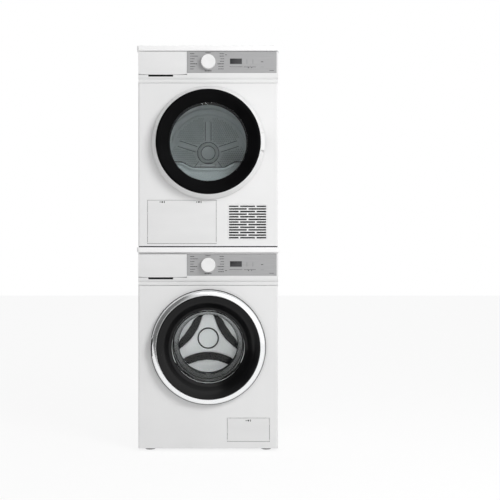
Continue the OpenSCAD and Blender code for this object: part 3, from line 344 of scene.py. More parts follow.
melamine = white_melamine()
for node in ("washer_worktop", "dryer_worktop"):
    low, high = box_mm(node)
    points, faces = rounded_block((low + high) / 2, (high - low) / 2, 2, 10, 3.5, 6)
    top_board = mesh_piece(node + "_board", points, faces, melamine, "cabinet", "white_laminate")
    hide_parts(node)


# -------------------------------------------------- bases, feet, joining frame
# Black glass-filled polypropylene: two base pans, the frame between the
# machines, and four screw-in feet with a ribbed pad of rubber.
def black_polypropylene():
    """Spark-eroded grain, about 1 mm across, drawn 1.6 mm, on black moulded plastic."""
    material, tree, shader = new_material("black_moulded_polypropylene", "#17171a", 0.6)
    grain = add_node(tree, "ShaderNodeTexVoronoi", {"Scale": 1.0},
                     {"Vector": place_pattern(tree, 1.6)}).outputs["Distance"]
    paint_variation(tree, shader, grain, "#141416", "#1e1e21")
    raise_relief(tree, shader, grain, 0.06, 0.5)
    return material


def lathe(profile, centre_x, centre_z, segments=128):
    """Closed profile of [radius, depth] points turned about a front-to-back axis:
    x = cx + r sin t, y = front + depth, z = cz + r cos t."""
    radius, depth = np.asarray(profile, float).T
    t = np.linspace(0, 2 * np.pi, segments, endpoint=False)
    points = np.stack([centre_x + radius[:, None] * np.sin(t),
                       front_y + depth[:, None] + 0 * t,
                       centre_z + radius[:, None] * np.cos(t)], -1)
    return points.reshape(-1, 3), grid_faces(len(radius), segments, close_rows=True)


def filleted(corners, steps=5):
    """Closed outline from [a, b, fillet] corners: each corner is cut back by its
    fillet along both sides and bridged with a quadratic curve."""
    corners = np.asarray(corners, float)
    out = []
    for k in range(len(corners)):
        here, size = corners[k, :2], corners[k, 2]
        before = corners[k - 1, :2] - here
        after = corners[(k + 1) % len(corners), :2] - here
        if size <= 0:
            out.append(here[None])
            continue
        start = here + before * min(size / np.linalg.norm(before), 0.49)
        end = here + after * min(size / np.linalg.norm(after), 0.49)
        s = np.linspace(0, 1, steps + 1)[:, None]
        out.append((1 - s) ** 2 * start + 2 * s * (1 - s) * here + s ** 2 * end)
    return np.concatenate(out)


black_plastic = black_polypropylene()
coat_cad(black_plastic, "washer_base", "dryer_base", "stacking_kit")
foot_radius = 21


def levelling_foot(x, y, height):
    """A pad on its stud, turned about an upright axis. Its waist is cut by 24 ribs: the
    radius falls there by 0.3 (1 + cos 24 t)."""
    t = np.linspace(0, 2 * np.pi, 96, endpoint=False)
    outline = filleted([[0, 0, 0], [foot_radius, 0, 1.5], [foot_radius, 4, 1], [18.5, 6, 1], [18.5, 9.8, 0.8],
                        [5, 9.8, 0], [5, height, 0.8], [0, height, 0]], 3)
    radius, level = outline.T
    waist = (radius > 18) & (level > 5)
    ribbed = radius[:, None] - 0.6 * waist[:, None] * (1 + np.cos(24 * t)) / 2
    points = np.stack([x + ribbed * np.sin(t), y + ribbed * np.cos(t), level[:, None] + 0 * t], -1)
    return points.reshape(-1, 3), grid_faces(len(radius), len(t), close_rows=True)


def black_rubber():
    """Matt black rubber with a soft bloom of lighter dust."""
    material, tree, shader = new_material("black_moulded_rubber", "#121212", 0.75)
    bloom = add_node(tree, "ShaderNodeTexNoise", {"Scale": 1.0, "Detail": 5.0},
                     {"Vector": place_pattern(tree, 7)}).outputs["Fac"]
    paint_variation(tree, shader, bloom, "#0f0f0f", "#1f1f1e")
    raise_relief(tree, shader, bloom, 0.08, 0.5)
    return material


rubber = black_rubber()
low, high = box_mm("levelling_feet")
feet = [levelling_foot(x, y, high[2]) for x in (low[0] + foot_radius, high[0] - foot_radius)
        for y in (low[1] + foot_radius, high[1] - foot_radius)]
feet_piece = mesh_piece("levelling_feet_pads", *joined(feet), rubber, "cabinet", "black_rubber")
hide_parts("levelling_feet")


# -------------------------------------------------------------------- fascias
# Injection-moulded white ABS, one moulding across each machine: a raised band
# on the right for the dial panel, a hollow slope under it, and a plain strip. A
# separate trim closes the gap under each worktop.
def moulded_white_abs():
    """Semi-gloss white ABS with a spark-eroded grain of about 1 mm."""
    material, tree, shader = new_material("white_moulded_abs", "#ebebeb", 0.34, IOR=1.54)
    grain = add_node(tree, "ShaderNodeTexNoise", {"Scale": 1.0, "Detail": 3.0},
                     {"Vector": place_pattern(tree, 1.2)}).outputs["Fac"]
    flow = add_node(tree, "ShaderNodeTexNoise", {"Scale": 1.0, "Detail": 2.0},
                    {"Vector": place_pattern(tree, 220, 220, 60)}).outputs["Fac"]
    paint_variation(tree, shader, flow, "#e9e9e9", "#ededed")
    vary_roughness(tree, shader, flow, 0.3, 0.38)
    raise_relief(tree, shader, grain, 0.03, 0.35)
    return material


white_abs = moulded_white_abs()


def across(sections, stations):
    """Closed piece through one [depth, z] section at each station along X, with capped ends."""
    n = len(sections[0])
    rings = [np.stack([np.full(n, x), front_y + section[:, 0], section[:, 1]], -1)
             for x, section in zip(stations, sections)]
    return np.concatenate(rings), grid_faces(len(rings), n) + end_caps(len(rings), n)


def mesh_block(x0, x1, d0, d1, z0, z1):
    """Eight corners and six sides of a plain block, for walls inside a larger moulding."""
    points = [(x, front_y + d, z) for x in (x0, x1) for d in (d0, d1) for z in (z0, z1)]
    sides = [[0, 1, 3, 2], [4, 5, 7, 6], [0, 1, 5, 4], [2, 3, 7, 6], [0, 2, 6, 4], [1, 3, 7, 5]]
    return np.array(points), sides


def holed_plate(outlines, d0, d1):
    """Closed plate: the first outline of [x, z] points less the others, filled with
    triangles and carried from depth d0 to depth d1."""
    work = bmesh.new()
    for outline in outlines:
        ring = [work.verts.new((x, 0, z)) for x, z in outline]
        for a, b in zip(ring, ring[1:] + ring[:1]):
            work.edges.new((a, b))
    work.verts.index_update()
    bmesh.ops.triangle_fill(work, edges=work.edges[:], use_beauty=True)
    flat = np.array([v.co for v in work.verts])
    fill = [[v.index for v in face.verts] for face in work.faces]
    work.free()
    n = len(flat)
    points = np.concatenate([flat + [0, front_y + d, 0] for d in (d0, d1)])
    faces = fill + [[v + n for v in reversed(face)] for face in fill]
    start = 0
    for outline in outlines:
        for k in range(len(outline)):
            a, b = start + k, start + (k + 1) % len(outline)
            faces.append([a, b, b + n, a + n])
        start += len(outline)
    return points, faces


def box_outline(x0, x1, z0, z1, r=0.6, steps=4):
    """Rounded rectangle of [x, z] points with corner radius r."""
    return rounded_outline((x1 - x0) / 2, (z1 - z0) / 2, r, steps) + [(x0 + x1) / 2, (z0 + z1) / 2]


def circle_outline(x, z, r, steps=48):
    """Circle of [x, z] points."""
    t = np.linspace(0, 2 * np.pi, steps, endpoint=False)
    return np.stack([x + r * np.cos(t), z + r * np.sin(t)], -1)


def soften(piece, width_mm, segments=2):
    """Rounds every edge sharper than 35 degrees by the given width."""
    bevel = piece.modifiers.new("rounded_edges", "BEVEL")
    bevel.limit_method = "ANGLE"
    bevel.angle_limit = math.radians(35)
    bevel.width = width_mm * MM
    bevel.segments = segments
    bevel.harden_normals = True


front_half, drawer_edge, band_left = 293.5, -89.5, -89.2
band_drop, slope_drop, fascia_drop, dial_drop = 98, 18, 131, 45
grip_left, grip_right, grip_height, grip_corner = -251.5, -146.5, 7.5, 3


def lower_moulding(top_z):
    """Slope and strip across the machine. The slope is a quarter of an ellipse,
    depth = -8 sqrt(1 - s^2) with s from 0 at the band to 1 at 18 mm below it. Its upper
    edge drops by the grip's height over the finger grip, with 3 mm round corners."""
    x = np.unique(np.concatenate([np.linspace(-front_half, front_half, 30),
                                  grip_left + np.linspace(0, grip_corner, 6),
                                  grip_right - np.linspace(0, grip_corner, 6)]))
    into = np.clip(np.minimum(x - grip_left, grip_right - x), 0, grip_corner)
    rounded = np.sqrt(np.maximum(grip_corner ** 2 - (grip_corner - into) ** 2, 0))
    drop = np.where(into > 0, grip_height - grip_corner + rounded, 0)
    foot = top_z - fascia_drop
    strip = [[0, foot + 11], [0.05, foot + 1.7], [0.7, foot + 0.4], [2.5, foot]]
    sections = []
    for cut in drop:
        s = np.linspace(cut / slope_drop, 1, 14)
        slope = np.stack([-8 * np.sqrt(1 - s ** 2), top_z - band_drop - slope_drop * s], -1)
        sections.append(np.concatenate([slope, strip, slope[::-1] + [2.5, 0]]))
    return across(sections, x)


def fascia(name):
    """One fascia moulding, with the drawer's space open on the left."""
    top = box_mm(name)[1][2]
    band, foot, lip, wall = top - band_drop, top - fascia_drop, top - 2.5, front_half - 2.5
    edge_frame = [[band_left, band], [front_half, band], [front_half, top], [286.7, top],
                  [286.7, top - 90], [band_left, top - 90]]
    backing = [box_outline(band_left, front_half - 0.1, band + 0.1, top - 0.1, 0.2),
               circle_outline(0, top - dial_drop, 5), box_outline(91.1, 141.4, top - 52.6, top - 29.4)]
    parts = [lower_moulding(top), holed_plate([np.array(edge_frame)], -8, -5.9),
             holed_plate(backing, -5.9, -3)]
    for x0, x1, d0, z0, z1 in ((band_left, front_half, -5.9, lip, top),
                               (-front_half, drawer_edge, 5, lip, top),
                               (band_left, band_left + 2.5, -3, band, lip), (wall, front_half, -3, band, lip),
                               (-front_half, -wall, 5, band, lip), (-front_half, -wall, 2.5, foot, band),
                               (wall, front_half, 2.5, foot, band)):
        parts.append(mesh_block(x0, x1, d0, 20, z0, z1))
    piece = mesh_piece(name + "_moulding", *joined(parts), white_abs, "cabinet", "white_abs", 40)
    soften(piece, 0.5)
    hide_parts(name)


fascia("washer_fascia")
fascia("dryer_fascia")
trim_half = 293
for machine in ("washer", "dryer"):
    under, over = box_mm(machine + "_fascia")[1][2], box_mm(machine + "_worktop")[0][2]
    trim = mesh_block(-trim_half, trim_half, 3.2, 7, under + 0.2, over)
    mesh_piece(machine + "_worktop_trim", *trim, white_abs, "cabinet", "white_abs")


# -------------------------------------------------------- dial panels, displays
# Screen-printed grey panels glued into each fascia, a dark window over the
# display, and small printed ticks in place of the programme names.
def printed_grey_panel():
    """Satin lacquer over fine horizontal brushing, 0.6 mm across, drawn 1.5 mm."""
    material, tree, shader = new_material("satin_grey_printed_panel", "#afafb0", 0.42, Metallic=0.3)
    brushed = add_node(tree, "ShaderNodeTexNoise", {"Scale": 1.0, "Detail": 3.0},
                       {"Vector": place_pattern(tree, 60, 60, 1.5)}).outputs["Fac"]
    paint_variation(tree, shader, brushed, "#aaaaab", "#b4b4b5")
    vary_roughness(tree, shader, brushed, 0.36, 0.48)
    return material


def screen_ink(name, colour):
    """Matt ink with a slightly uneven film."""
    material, tree, shader = new_material(name, colour, 0.6)
    film = add_node(tree, "ShaderNodeTexNoise", {"Scale": 1.0, "Detail": 2.0},
                    {"Vector": place_pattern(tree, 1.5)}).outputs["Fac"]
    vary_roughness(tree, shader, film, 0.5, 0.7)
    return material


def display_window():
    """Dark acrylic, polished, with the pale cells of the switched-off display behind it."""
    material, tree, shader = new_material("dark_polished_acrylic", "#343436", 0.12, IOR=1.49)
    cells = add_node(tree, "ShaderNodeTexNoise", {"Scale": 1.0, "Detail": 1.0},
                     {"Vector": place_pattern(tree, 18)}).outputs["Fac"]
    paint_variation(tree, shader, cells, "#323234", "#38383a")
    return material


panel_grey = printed_grey_panel()
dark_ink = screen_ink("dark_grey_screen_ink", "#262628")
pale_ink_and_edge_shade = screen_ink("pale_grey_ink_and_painted_edge_shade", "#8e8e90")
dark_window = display_window()


def tick_row(x0, x1, z, height, seed):
    """Short bars of uneven length between x0 and x1, like a word seen from afar."""
    rng = np.random.default_rng(seed)
    bars, x = [], x0
    while x < x1 - 1.2:
        end = min(x + rng.uniform(3, 7), x1)
        bars.append((x, end, z - height / 2, z + height / 2))
        x = end + rng.uniform(0.8, 1.4)
    return bars


def panel_prints(top, icon_drop):
    """Dark and pale ticks of one panel as (x0, x1, z0, z1) bars. Seven labels stand on
    either side of the dial, and smaller marks under and beside the display. Three thin
    pale lines along the panel's left, bottom and top edges are painted shade of the gap
    round the panel."""
    drops = [9.7, 19.7, 31.1, 41.6, 52.1, 63.4, 73.5]
    left = [17, 32, 18, 14, 30, 20, 14]
    right = [18, 18, 14, 16, 27, 23, 24]
    dark, pale_and_edge_shade = [], []
    for k, (drop, a, b) in enumerate(zip(drops, left, right)):
        height = 3 if k == 4 else 2.4
        dark += tick_row(-75, -75 + a, top - drop, height, k)
        dark += tick_row(66 - b, 66, top - drop, height, k + 20)
    dark += [(-12, 10, top - 5.4, top - 3.6)]
    dark += tick_row(-15, 14, top - 81.5, 3.4, 41)
    dark += [(71, 78, top - icon_drop - 1.2, top - icon_drop + 1.2)]
    dark += tick_row(89, 143, top - 64.3, 1.5, 42) + tick_row(150, 200, top - 65, 1.8, 43)
    dark += [(167, 171, top - 70, top - 66.8), (181, 184, top - 70, top - 66.8)]
    dark += [(221, 231, top - 44.8, top - 42.4)] + tick_row(257, 275, top - 80, 2.2, 44)
    pale_and_edge_shade += tick_row(220, 233, top - 65, 1.6, 45)
    pale_and_edge_shade += [(161, 163.5, top - 52, top - 34), (186, 188.5, top - 52, top - 34)]
    # The three thin pale lines along the panel's left, bottom and top edges are painted shade of the gap
    # round the panel.
    pale_and_edge_shade += [(-88.8, -87.6, top - 89.6, top - 0.3), (-87.6, 286.2, top - 89.6, top - 88.2),
             (-87.6, 286.2, top - 1.4, top - 0.3)]
    return dark, pale_and_edge_shade


def printed(name, bars, depth, material):
    """Bars of ink 0.12 mm thick on the face at the given depth."""
    parts = [mesh_block(x0, x1, depth - 0.12, depth, z0, z1) for x0, x1, z0, z1 in bars]
    return mesh_piece(name, *joined(parts), material, "cabinet", "grey_panel")


plates, windows, dark_bars, pale_and_edge_shade_bars = [], [], [], []
for node, icon_drop in (("washer_fascia", 69), ("dryer_fascia", 14.3)):
    top = box_mm(node)[1][2]
    window = box_outline(91.3, 141.2, top - 52.4, top - 29.6)
    plates.append(holed_plate([box_outline(-89.1, 286.5, top - 89.8, top - 0.1),
                               circle_outline(0, top - dial_drop, 4.2), window], -8, -6))
    windows.append(rounded_block((116.25, front_y - 6.9, top - 41), (24.75, 0.9, 11.25), 1, 1, 0.3))
    dark, pale_and_edge_shade = panel_prints(top, icon_drop)
    dark_bars += dark
    pale_and_edge_shade_bars += pale_and_edge_shade + [(91.5, 141, top - 54.2, top - 52.9)]
panel_plates = mesh_piece("dial_panel_plates", *joined(plates), panel_grey, "cabinet", "grey_panel", 40)
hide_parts("dial_panels")
printed("dial_panel_dark_prints", dark_bars, -8, dark_ink)
printed("dial_panel_pale_prints_and_edge_shade", pale_and_edge_shade_bars, -8, pale_ink_and_edge_shade)
display_windows = mesh_piece("display_windows", *joined(windows), dark_window, "cabinet", "black_abs")
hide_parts("control_boards")


# -------------------------------------------------------------- control boards
# A green glass-fibre board behind each fascia with the display's housing, the
# dial's rotary encoder, and soldered chips and capacitors.
def solder_mask():
    """Green mask over copper tracks about 1 mm wide, drawn 3 mm."""
    material, tree, shader = new_material("green_solder_mask", "#0f4d28", 0.35, IOR=1.5)
    tracks = add_node(tree, "ShaderNodeTexVoronoi", {"Scale": 1.0}, {"Vector": place_pattern(tree, 5)},
                      distance="CHEBYCHEV", feature="F1").outputs["Distance"]
    paint_variation(tree, shader, tracks, "#0c4222", "#1b6b3a")
    return material


boards = []
rng = np.random.default_rng(7)
for node in ("washer_fascia", "dryer_fascia"):
    top = box_mm(node)[1][2]
    outline = box_outline(-60, 250, top - 78, top - 12, 3)
    boards.append(holed_plate([outline, circle_outline(0, top - dial_drop, 3.6)], 6, 7.6))
    boards.append(mesh_block(91.5, 141, -5.9, 6, top - 52.25, top - 29.75))
    boards.append(holed_plate([box_outline(-12, 12, top - 57, top - 33, 1),
                               circle_outline(0, top - dial_drop, 3.6)], 0, 6))
    for _ in range(14):
        x, z = rng.uniform(-45, 80), top - rng.uniform(20, 70)
        w, h, d = rng.uniform(2, 7), rng.uniform(2, 5), rng.uniform(1.5, 5)
        if abs(x) > 22:
            boards.append(mesh_block(x - w, x + w, 7.6, 7.6 + d, z - h, z + h))
boards_piece = mesh_piece("control_board_assemblies", *joined(boards), solder_mask(), "cabinet", "circuit")
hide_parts("control_boards")


# ---------------------------------------------------------------------- dials
# White ABS programme dials, 62 mm across, pressed on a spindle. Their rims
# carry shallow flutes for the fingers, and the faces are slightly dished.
def dial(node, body):
    """Profile turned about the spindle, its rim waved by 0.45 cos(18 t) on the grip."""
    dial_radius = 31
    dial_z = box_mm(node)[1][2] - dial_radius
    outline = filleted([[0, -30.2, 0], [20, -30.6, 3], [29.4, -31, 1.4], [30.4, -14, 1],
                        [dial_radius, -9.2, 0.8], [28, -9.2, 0], [3, -9.2, 0], [3, 6.8, 0.4],
                        [0, 6.8, 0]], 5)
    radius, depth = outline.T
    t = np.linspace(0, 2 * np.pi, 216, endpoint=False)
    grip = np.clip((radius - 26) / 3, 0, 1) * np.clip((depth + 30.5) / 3, 0, 1) * (depth < -10)
    waved = radius[:, None] + 0.45 * grip[:, None] * np.cos(18 * t)
    points = np.stack([waved * np.sin(t), front_y + depth[:, None] + 0 * t, dial_z + waved * np.cos(t)], -1)
    faces = grid_faces(len(radius), len(t), close_rows=True)
    piece = mesh_piece(node + "_fluted", points.reshape(-1, 3), faces, dial_abs, body, "white_abs")
    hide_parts(node)


def polished_white_abs():
    """White ABS from a polished mould, a shade brighter than the fascias."""
    material, tree, shader = new_material("white_polished_abs", "#f2f2f2", 0.22, IOR=1.54)
    flow = add_node(tree, "ShaderNodeTexNoise", {"Scale": 1.0, "Detail": 2.0},
                    {"Vector": place_pattern(tree, 30)}).outputs["Fac"]
    paint_variation(tree, shader, flow, "#f0f0f0", "#f4f4f4")
    vary_roughness(tree, shader, flow, 0.18, 0.26)
    return material


dial_abs = polished_white_abs()
dial("washer_knob", "washer_dial")
dial("dryer_knob", "dryer_dial")


# -------------------------------------------------------------------- drawers
# Each drawer has a white ABS front with a slightly bowed lower edge. Behind
# the washer's is a three-part detergent tray, behind the dryer's a water tank.
def drawer_front(name, top, body, replaced):
    """Plate whose lower edge rises towards its ends by 2 u^4, with u from -1 to 1."""
    x = np.linspace(-front_half, drawer_edge, 41)
    u = (x - x.mean()) / (x[-1] - x.mean())
    lower = np.stack([x, top - 97 + 2 * u ** 4], -1)
    corners = filleted([[drawer_edge, top - 95, 2], [drawer_edge, top - 0.3, 0.6],
                        [-front_half, top - 0.3, 0.6], [-front_half, top - 95, 4]], 6)
    outline = np.concatenate([lower[2:-2], corners[3:-3]])
    parts = [holed_plate([outline], -8, -3.5)]
    for x0, x1 in ((-290.5, -288.5), (-94.5, -92.5)):
        parts.append(mesh_block(x0, x1, -3.5, 3, top - 86, top - 6))
    piece = mesh_piece(name, *joined(parts), white_abs, body, "white_abs", 40)
    soften(piece, 0.9, 3)
    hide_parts(replaced)


def natural_polypropylene():
    """Light grey moulded polypropylene with a soft grain about 1.5 mm across."""
    material, tree, shader = new_material("light_grey_moulded_polypropylene", "#cfd1d1", 0.5, IOR=1.49)
    grain = add_node(tree, "ShaderNodeTexNoise", {"Scale": 1.0, "Detail": 4.0},
                     {"Vector": place_pattern(tree, 2.5)}).outputs["Fac"]
    paint_variation(tree, shader, grain, "#c9cbcb", "#d5d7d7")
    raise_relief(tree, shader, grain, 0.05, 0.4)
    return material


light_plastic = natural_polypropylene()
coat_cad(light_plastic, "detergent_drawer_tray")
coat_cad(black_plastic, "drawer_housing", "tank_housing")
washer_top = box_mm("washer_fascia")[1][2]
dryer_top = box_mm("dryer_fascia")[1][2]
drawer_front("detergent_drawer_bowed_front", washer_top, "detergent_drawer", "detergent_drawer_front")
drawer_front("condensate_drawer_bowed_front", dryer_top, "condensate_drawer", "water_tank")

tank_box = [(-273.3, -99.5), (3, 403), (dryer_top - 84, dryer_top - 22)]
tank_centre = np.array([sum(side) / 2 for side in tank_box]) + [0, front_y, 0]
tank_half = np.array([(b - a) / 2 for a, b in tank_box])
spout_x = -139.5
collar = filleted([[9, 0, 0], [13, 0, 0.5], [13, 1.6, 0.6], [11, 1.6, 0], [11, 0.8, 0], [9, 0.8, 0]], 2)
around = 48
t = np.linspace(0, 2 * np.pi, around, endpoint=False)
collar_points = np.stack([spout_x + collar[:, :1] * np.sin(t), front_y + 30 + collar[:, :1] * np.cos(t),
                          dryer_top - 22.4 + collar[:, 1:] + 0 * t], -1).reshape(-1, 3)
tank_parts = [rounded_block(tank_centre, tank_half, 1, 5, 4, 5),
              (collar_points, grid_faces(len(collar), around, close_rows=True))]
for depth in (70, 170, 270, 360):
    rib_centre = np.array([tank_centre[0], front_y + depth, tank_centre[2]])
    tank_parts.append(rounded_block(rib_centre, tank_half * [1, 0, 1] + [0.6, 3, 0.6], 1, 5, 0.5, 2))
tank = mesh_piece("condensate_tank_body", *joined(tank_parts), light_plastic, "condensate_drawer",
                  "white_abs")
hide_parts("water_tank")


# ---------------------------------------------------------------- washer door
# A silver-painted ABS ring, a dished gloss black bezel, and a pressed glass bowl
# clamped behind them, its wall tinted grey as painted shade and dotted with lighter
# painted glints. A black back ring closes the gap to the front; its rim, 3 mm past
# the silver ring, is a dark line that stands in for the gap's shadow.
def ring_part(profile, centre_z, segments=192, limit=None, arc=None):
    """Closed profile of [radius, depth] turned about the door's axis. limit(t) caps the
    depth at each angle, for the notch at the hinge. arc is (from, to) in degrees."""
    if arc is None:
        points, faces = lathe(profile, 0, centre_z, segments)
        if limit is not None:
            t = np.linspace(0, 2 * np.pi, segments, endpoint=False)
            grid = points.reshape(len(profile), segments, 3)
            grid[..., 1] = np.minimum(grid[..., 1], front_y + limit(t))
            points = grid.reshape(-1, 3)
        return points, faces
    radius, depth = np.asarray(profile, float).T
    t = np.radians(np.linspace(arc[0], arc[1], segments))[:, None]
    points = np.stack([radius * np.sin(t), front_y + depth + 0 * t, centre_z + radius * np.cos(t)], -1)
    return points.reshape(-1, 3), grid_faces(segments, len(radius)) + end_caps(segments, len(radius))


def silver_paint():
    """Silver paint with metal flakes about 0.1 mm across, drawn 0.8 mm, under clear coat."""
    material, tree, shader = new_material("silver_painted_abs", "#f4f5f6", 0.15, Metallic=0.9)
    flakes = add_node(tree, "ShaderNodeTexNoise", {"Scale": 1.0, "Detail": 2.0},
                      {"Vector": place_pattern(tree, 0.8)}).outputs["Fac"]
    paint_variation(tree, shader, flakes, "#eeeff0", "#f6f7f8")
    vary_roughness(tree, shader, flakes, 0.12, 0.18)
    return material


def gloss_black_abs(name, mirror):
    """Piano-black ABS: deep gloss with a faint long wave from the moulding."""
    material, tree, shader = new_material(name, "#0a0a0b", 0.2, Specular_IOR_Level=mirror)
    wave = add_node(tree, "ShaderNodeTexNoise", {"Scale": 1.0, "Detail": 2.0},
                    {"Vector": place_pattern(tree, 70)}).outputs["Fac"]
    paint_variation(tree, shader, wave, "#0a0a0b", "#0e0e0f")
    vary_roughness(tree, shader, wave, 0.18, 0.26)
    return material


def clear_glass(name, colour, lamp_colour):
    """Solid glass that lets lamps through, with a faint waviness left by the press. Its
    low index stands for an anti-glare film: real glass has 1.5."""
    material, tree, shader = new_material(name, colour, 0.02, Transmission_Weight=1.0, IOR=1.25)
    ream = add_node(tree, "ShaderNodeTexNoise", {"Scale": 1.0, "Detail": 2.0},
                    {"Vector": place_pattern(tree, 45)}).outputs["Fac"]
    raise_relief(tree, shader, ream, 0.4, 0.25)
    lamp_ray = add_node(tree, "ShaderNodeLightPath").outputs["Is Shadow Ray"]
    through = add_node(tree, "ShaderNodeBsdfTransparent", {"Color": linear(lamp_colour)})
    mixed = add_node(tree, "ShaderNodeMixShader",
                     links={0: lamp_ray, 1: shader.outputs[0], 2: through.outputs[0]})
    tree.links.new(mixed.outputs[0], tree.nodes["Material Output"].inputs["Surface"])
    return material


silver = silver_paint()
black_gloss = gloss_black_abs("gloss_black_moulded_abs", 0.22)
bowl_glass = clear_glass("pressed_clear_glass", "#f7f9f9", "#ffffff")
coat_cad(black_plastic, "washer_door_frame")


def axis_height(node):
    """Height of a round node's middle, to a tenth of a millimetre."""
    low, high = box_mm(node)
    return round(float(low[2] + high[2]) / 2, 1)


def notch_at(angle, half_deg, cut):
    """Depth cap for ring_part: cut mm inside half_deg of the angle, free elsewhere."""
    def limit(t):
        away = np.abs((np.degrees(t) - angle + 180) % 360 - 180)
        return np.where(away < half_deg, cut, 1000.0)
    return limit


washer_zc = axis_height("washer_door_ring")
washer_ring_profile = filleted([[239, -6, 0.6], [239, -23, 6], [234, -36, 5], [225, -40.4, 4],
                                [217.2, -41, 0.8], [217.2, -36, 0.5], [225, -35.4, 0], [231, -31, 0],
                                [235, -21, 0], [235, -6, 0.5]], 6)
washer_ring = mesh_piece("washer_door_silver_ring", *ring_part(washer_ring_profile, washer_zc, 288,
                         notch_at(270, 9.3, -34)), silver, "washer_door", "satin_trim", 30)
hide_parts("washer_door_ring")

# The back ring's rim, 3 mm outside the silver ring, is a black line that stands in for the shadow of the gap
# behind the ring.
back_profile = filleted([[236, -13, 0], [242, -13, 0.8], [242, -7, 0.8], [233, -7, 0], [233, -11, 0]], 3)
back_ring = ring_part(back_profile, washer_zc, 240, arc=(-80.5, 260.5))
mesh_piece("washer_door_back_ring", *back_ring, black_plastic, "washer_door", "black_plastic")

washer_bezel_profile = filleted([[216.7, -40.4, 0.6], [213, -41, 3], [194, -37.2, 6], [186, -31, 8],
                                 [163.5, -6.5, 7], [153.5, 0, 2], [153.3, 3, 0.4], [164, -2, 0],
                                 [189, -28, 0], [195, -33, 0], [216.7, -36.2, 0]], 7)
washer_bezel = mesh_piece("washer_door_dished_bezel", *ring_part(washer_bezel_profile, washer_zc, 240),
                          black_gloss, "washer_door", "black_abs", 40)
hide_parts("washer_door_bezel")

bowl_profile = filleted([[165, 3.5, 0.8], [165, 7.5, 0.8], [151, 7.5, 5], [133, 127, 6], [125, 134, 8],
                         [115, 137, 6], [0, 141, 0], [0, 137, 0], [113, 133, 6], [123, 130, 8],
                         [129, 124, 6], [147, 3.5, 4]], 7)
bowl = mesh_piece("washer_door_glass_bowl", *ring_part(bowl_profile, washer_zc, 192), bowl_glass,
                  "washer_door", "bowl_glass", 60)
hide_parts("washer_door_glass")
# The bowl's wall faces take a grey tint that is painted shade, dotted lighter with painted glints.
wall_glass = clear_glass("pressed_glass_wall_painted_shade", "#707273", "#d0d2d2")
wall_tree = wall_glass.node_tree
painted_glint_dots = add_node(wall_tree, "ShaderNodeTexVoronoi", {"Scale": 1.0, "Randomness": 0.4},
                   {"Vector": place_pattern(wall_tree, 7)}).outputs["Distance"]
paint_variation(wall_tree, wall_tree.nodes["Principled BSDF"], painted_glint_dots, "#a4a6a7", "#606263")
bowl.data.materials.append(wall_glass)
wall_front, wall_back = 12, 121
for face in bowl.data.polygons:
    if wall_front < face.center.y / MM - front_y < wall_back:
        face.material_index = 1


# --------------------------------------------------- washer gasket, drum front
# Grey EPDM bellows between the front sheet and the tub, clamped at its front
# lip, with a soft sealing lip that meets the bowl.
def grey_epdm():
    """Grey rubber with a fine matt skin about 1 mm across."""
    material, tree, shader = new_material("grey_epdm_rubber", "#3c3e3f", 0.62)
    skin = add_node(tree, "ShaderNodeTexNoise", {"Scale": 1.0, "Detail": 4.0},
                    {"Vector": place_pattern(tree, 2)}).outputs["Fac"]
    paint_variation(tree, shader, skin, "#383a3b", "#434546")
    raise_relief(tree, shader, skin, 0.06, 0.4)
    return material


epdm = grey_epdm()
gasket_profile = filleted([[187.3, 3, 1], [187.3, 24, 3], [180.3, 32, 5], [187.3, 40, 3], [187.3, 75, 0.5],
                           [168.3, 75, 1.5], [166.3, 60, 2], [170.3, 56, 3], [172.3, 68, 3], [182.3, 70, 2],
                           [182.3, 42, 3], [173.3, 32, 5], [182.3, 22, 3], [182.3, 3, 1]], 5)
gasket = mesh_piece("washer_gasket_bellows", *ring_part(gasket_profile, washer_zc, 160), epdm, "cabinet",
                    "gasket_rubber", 50)
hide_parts("washer_gasket")


# ---------------------------------------------------------------- washer drum
# Stainless steel: a rolled shell with rows of punched holes, a pressed front
# ring, and a deep-drawn back whose raised three-armed star carries the hub.
def stainless_steel(name, low, high, roughness, glow=0.0):
    """Rolled stainless, its grain lines about 0.2 mm apart, drawn 1.2 mm. Part matt, so
    that it takes the lamps' light too. A glow is painted light, for light thrown about
    in the drum."""
    material, tree, shader = new_material(name, low, roughness, Metallic=0.5, Emission_Strength=glow,
                                          Emission_Color=linear("#ffffff"))
    grain = add_node(tree, "ShaderNodeTexNoise", {"Scale": 1.0, "Detail": 3.0},
                     {"Vector": place_pattern(tree, 1.2, 1.2, 40)}).outputs["Fac"]
    paint_variation(tree, shader, grain, low, high)
    vary_roughness(tree, shader, grain, roughness - 0.05, roughness + 0.07)
    return material


shell_steel = stainless_steel("rolled_stainless_steel", "#8e9192", "#a2a5a6", 0.34)
# The star back's steel glows at 0.16: painted light, for light thrown about in the drum.
plate_steel = stainless_steel("deep_drawn_stainless_steel", "#eceeee", "#f6f8f7", 0.45, 0.16)
# Near-black steel for the star's channel and the hub groove is painted shade.
painted_shade_steel = stainless_steel("stainless_recess_painted_shade", "#1c1d1e", "#252627", 0.5)


cell_rim = np.array([[-1, -1], [0, -1], [1, -1], [1, 0], [1, 1], [0, 1], [-1, 1], [-1, 0]]) * 0.5
rim_turn = np.radians([225, 270, 315, 0, 45, 90, 135, 180])


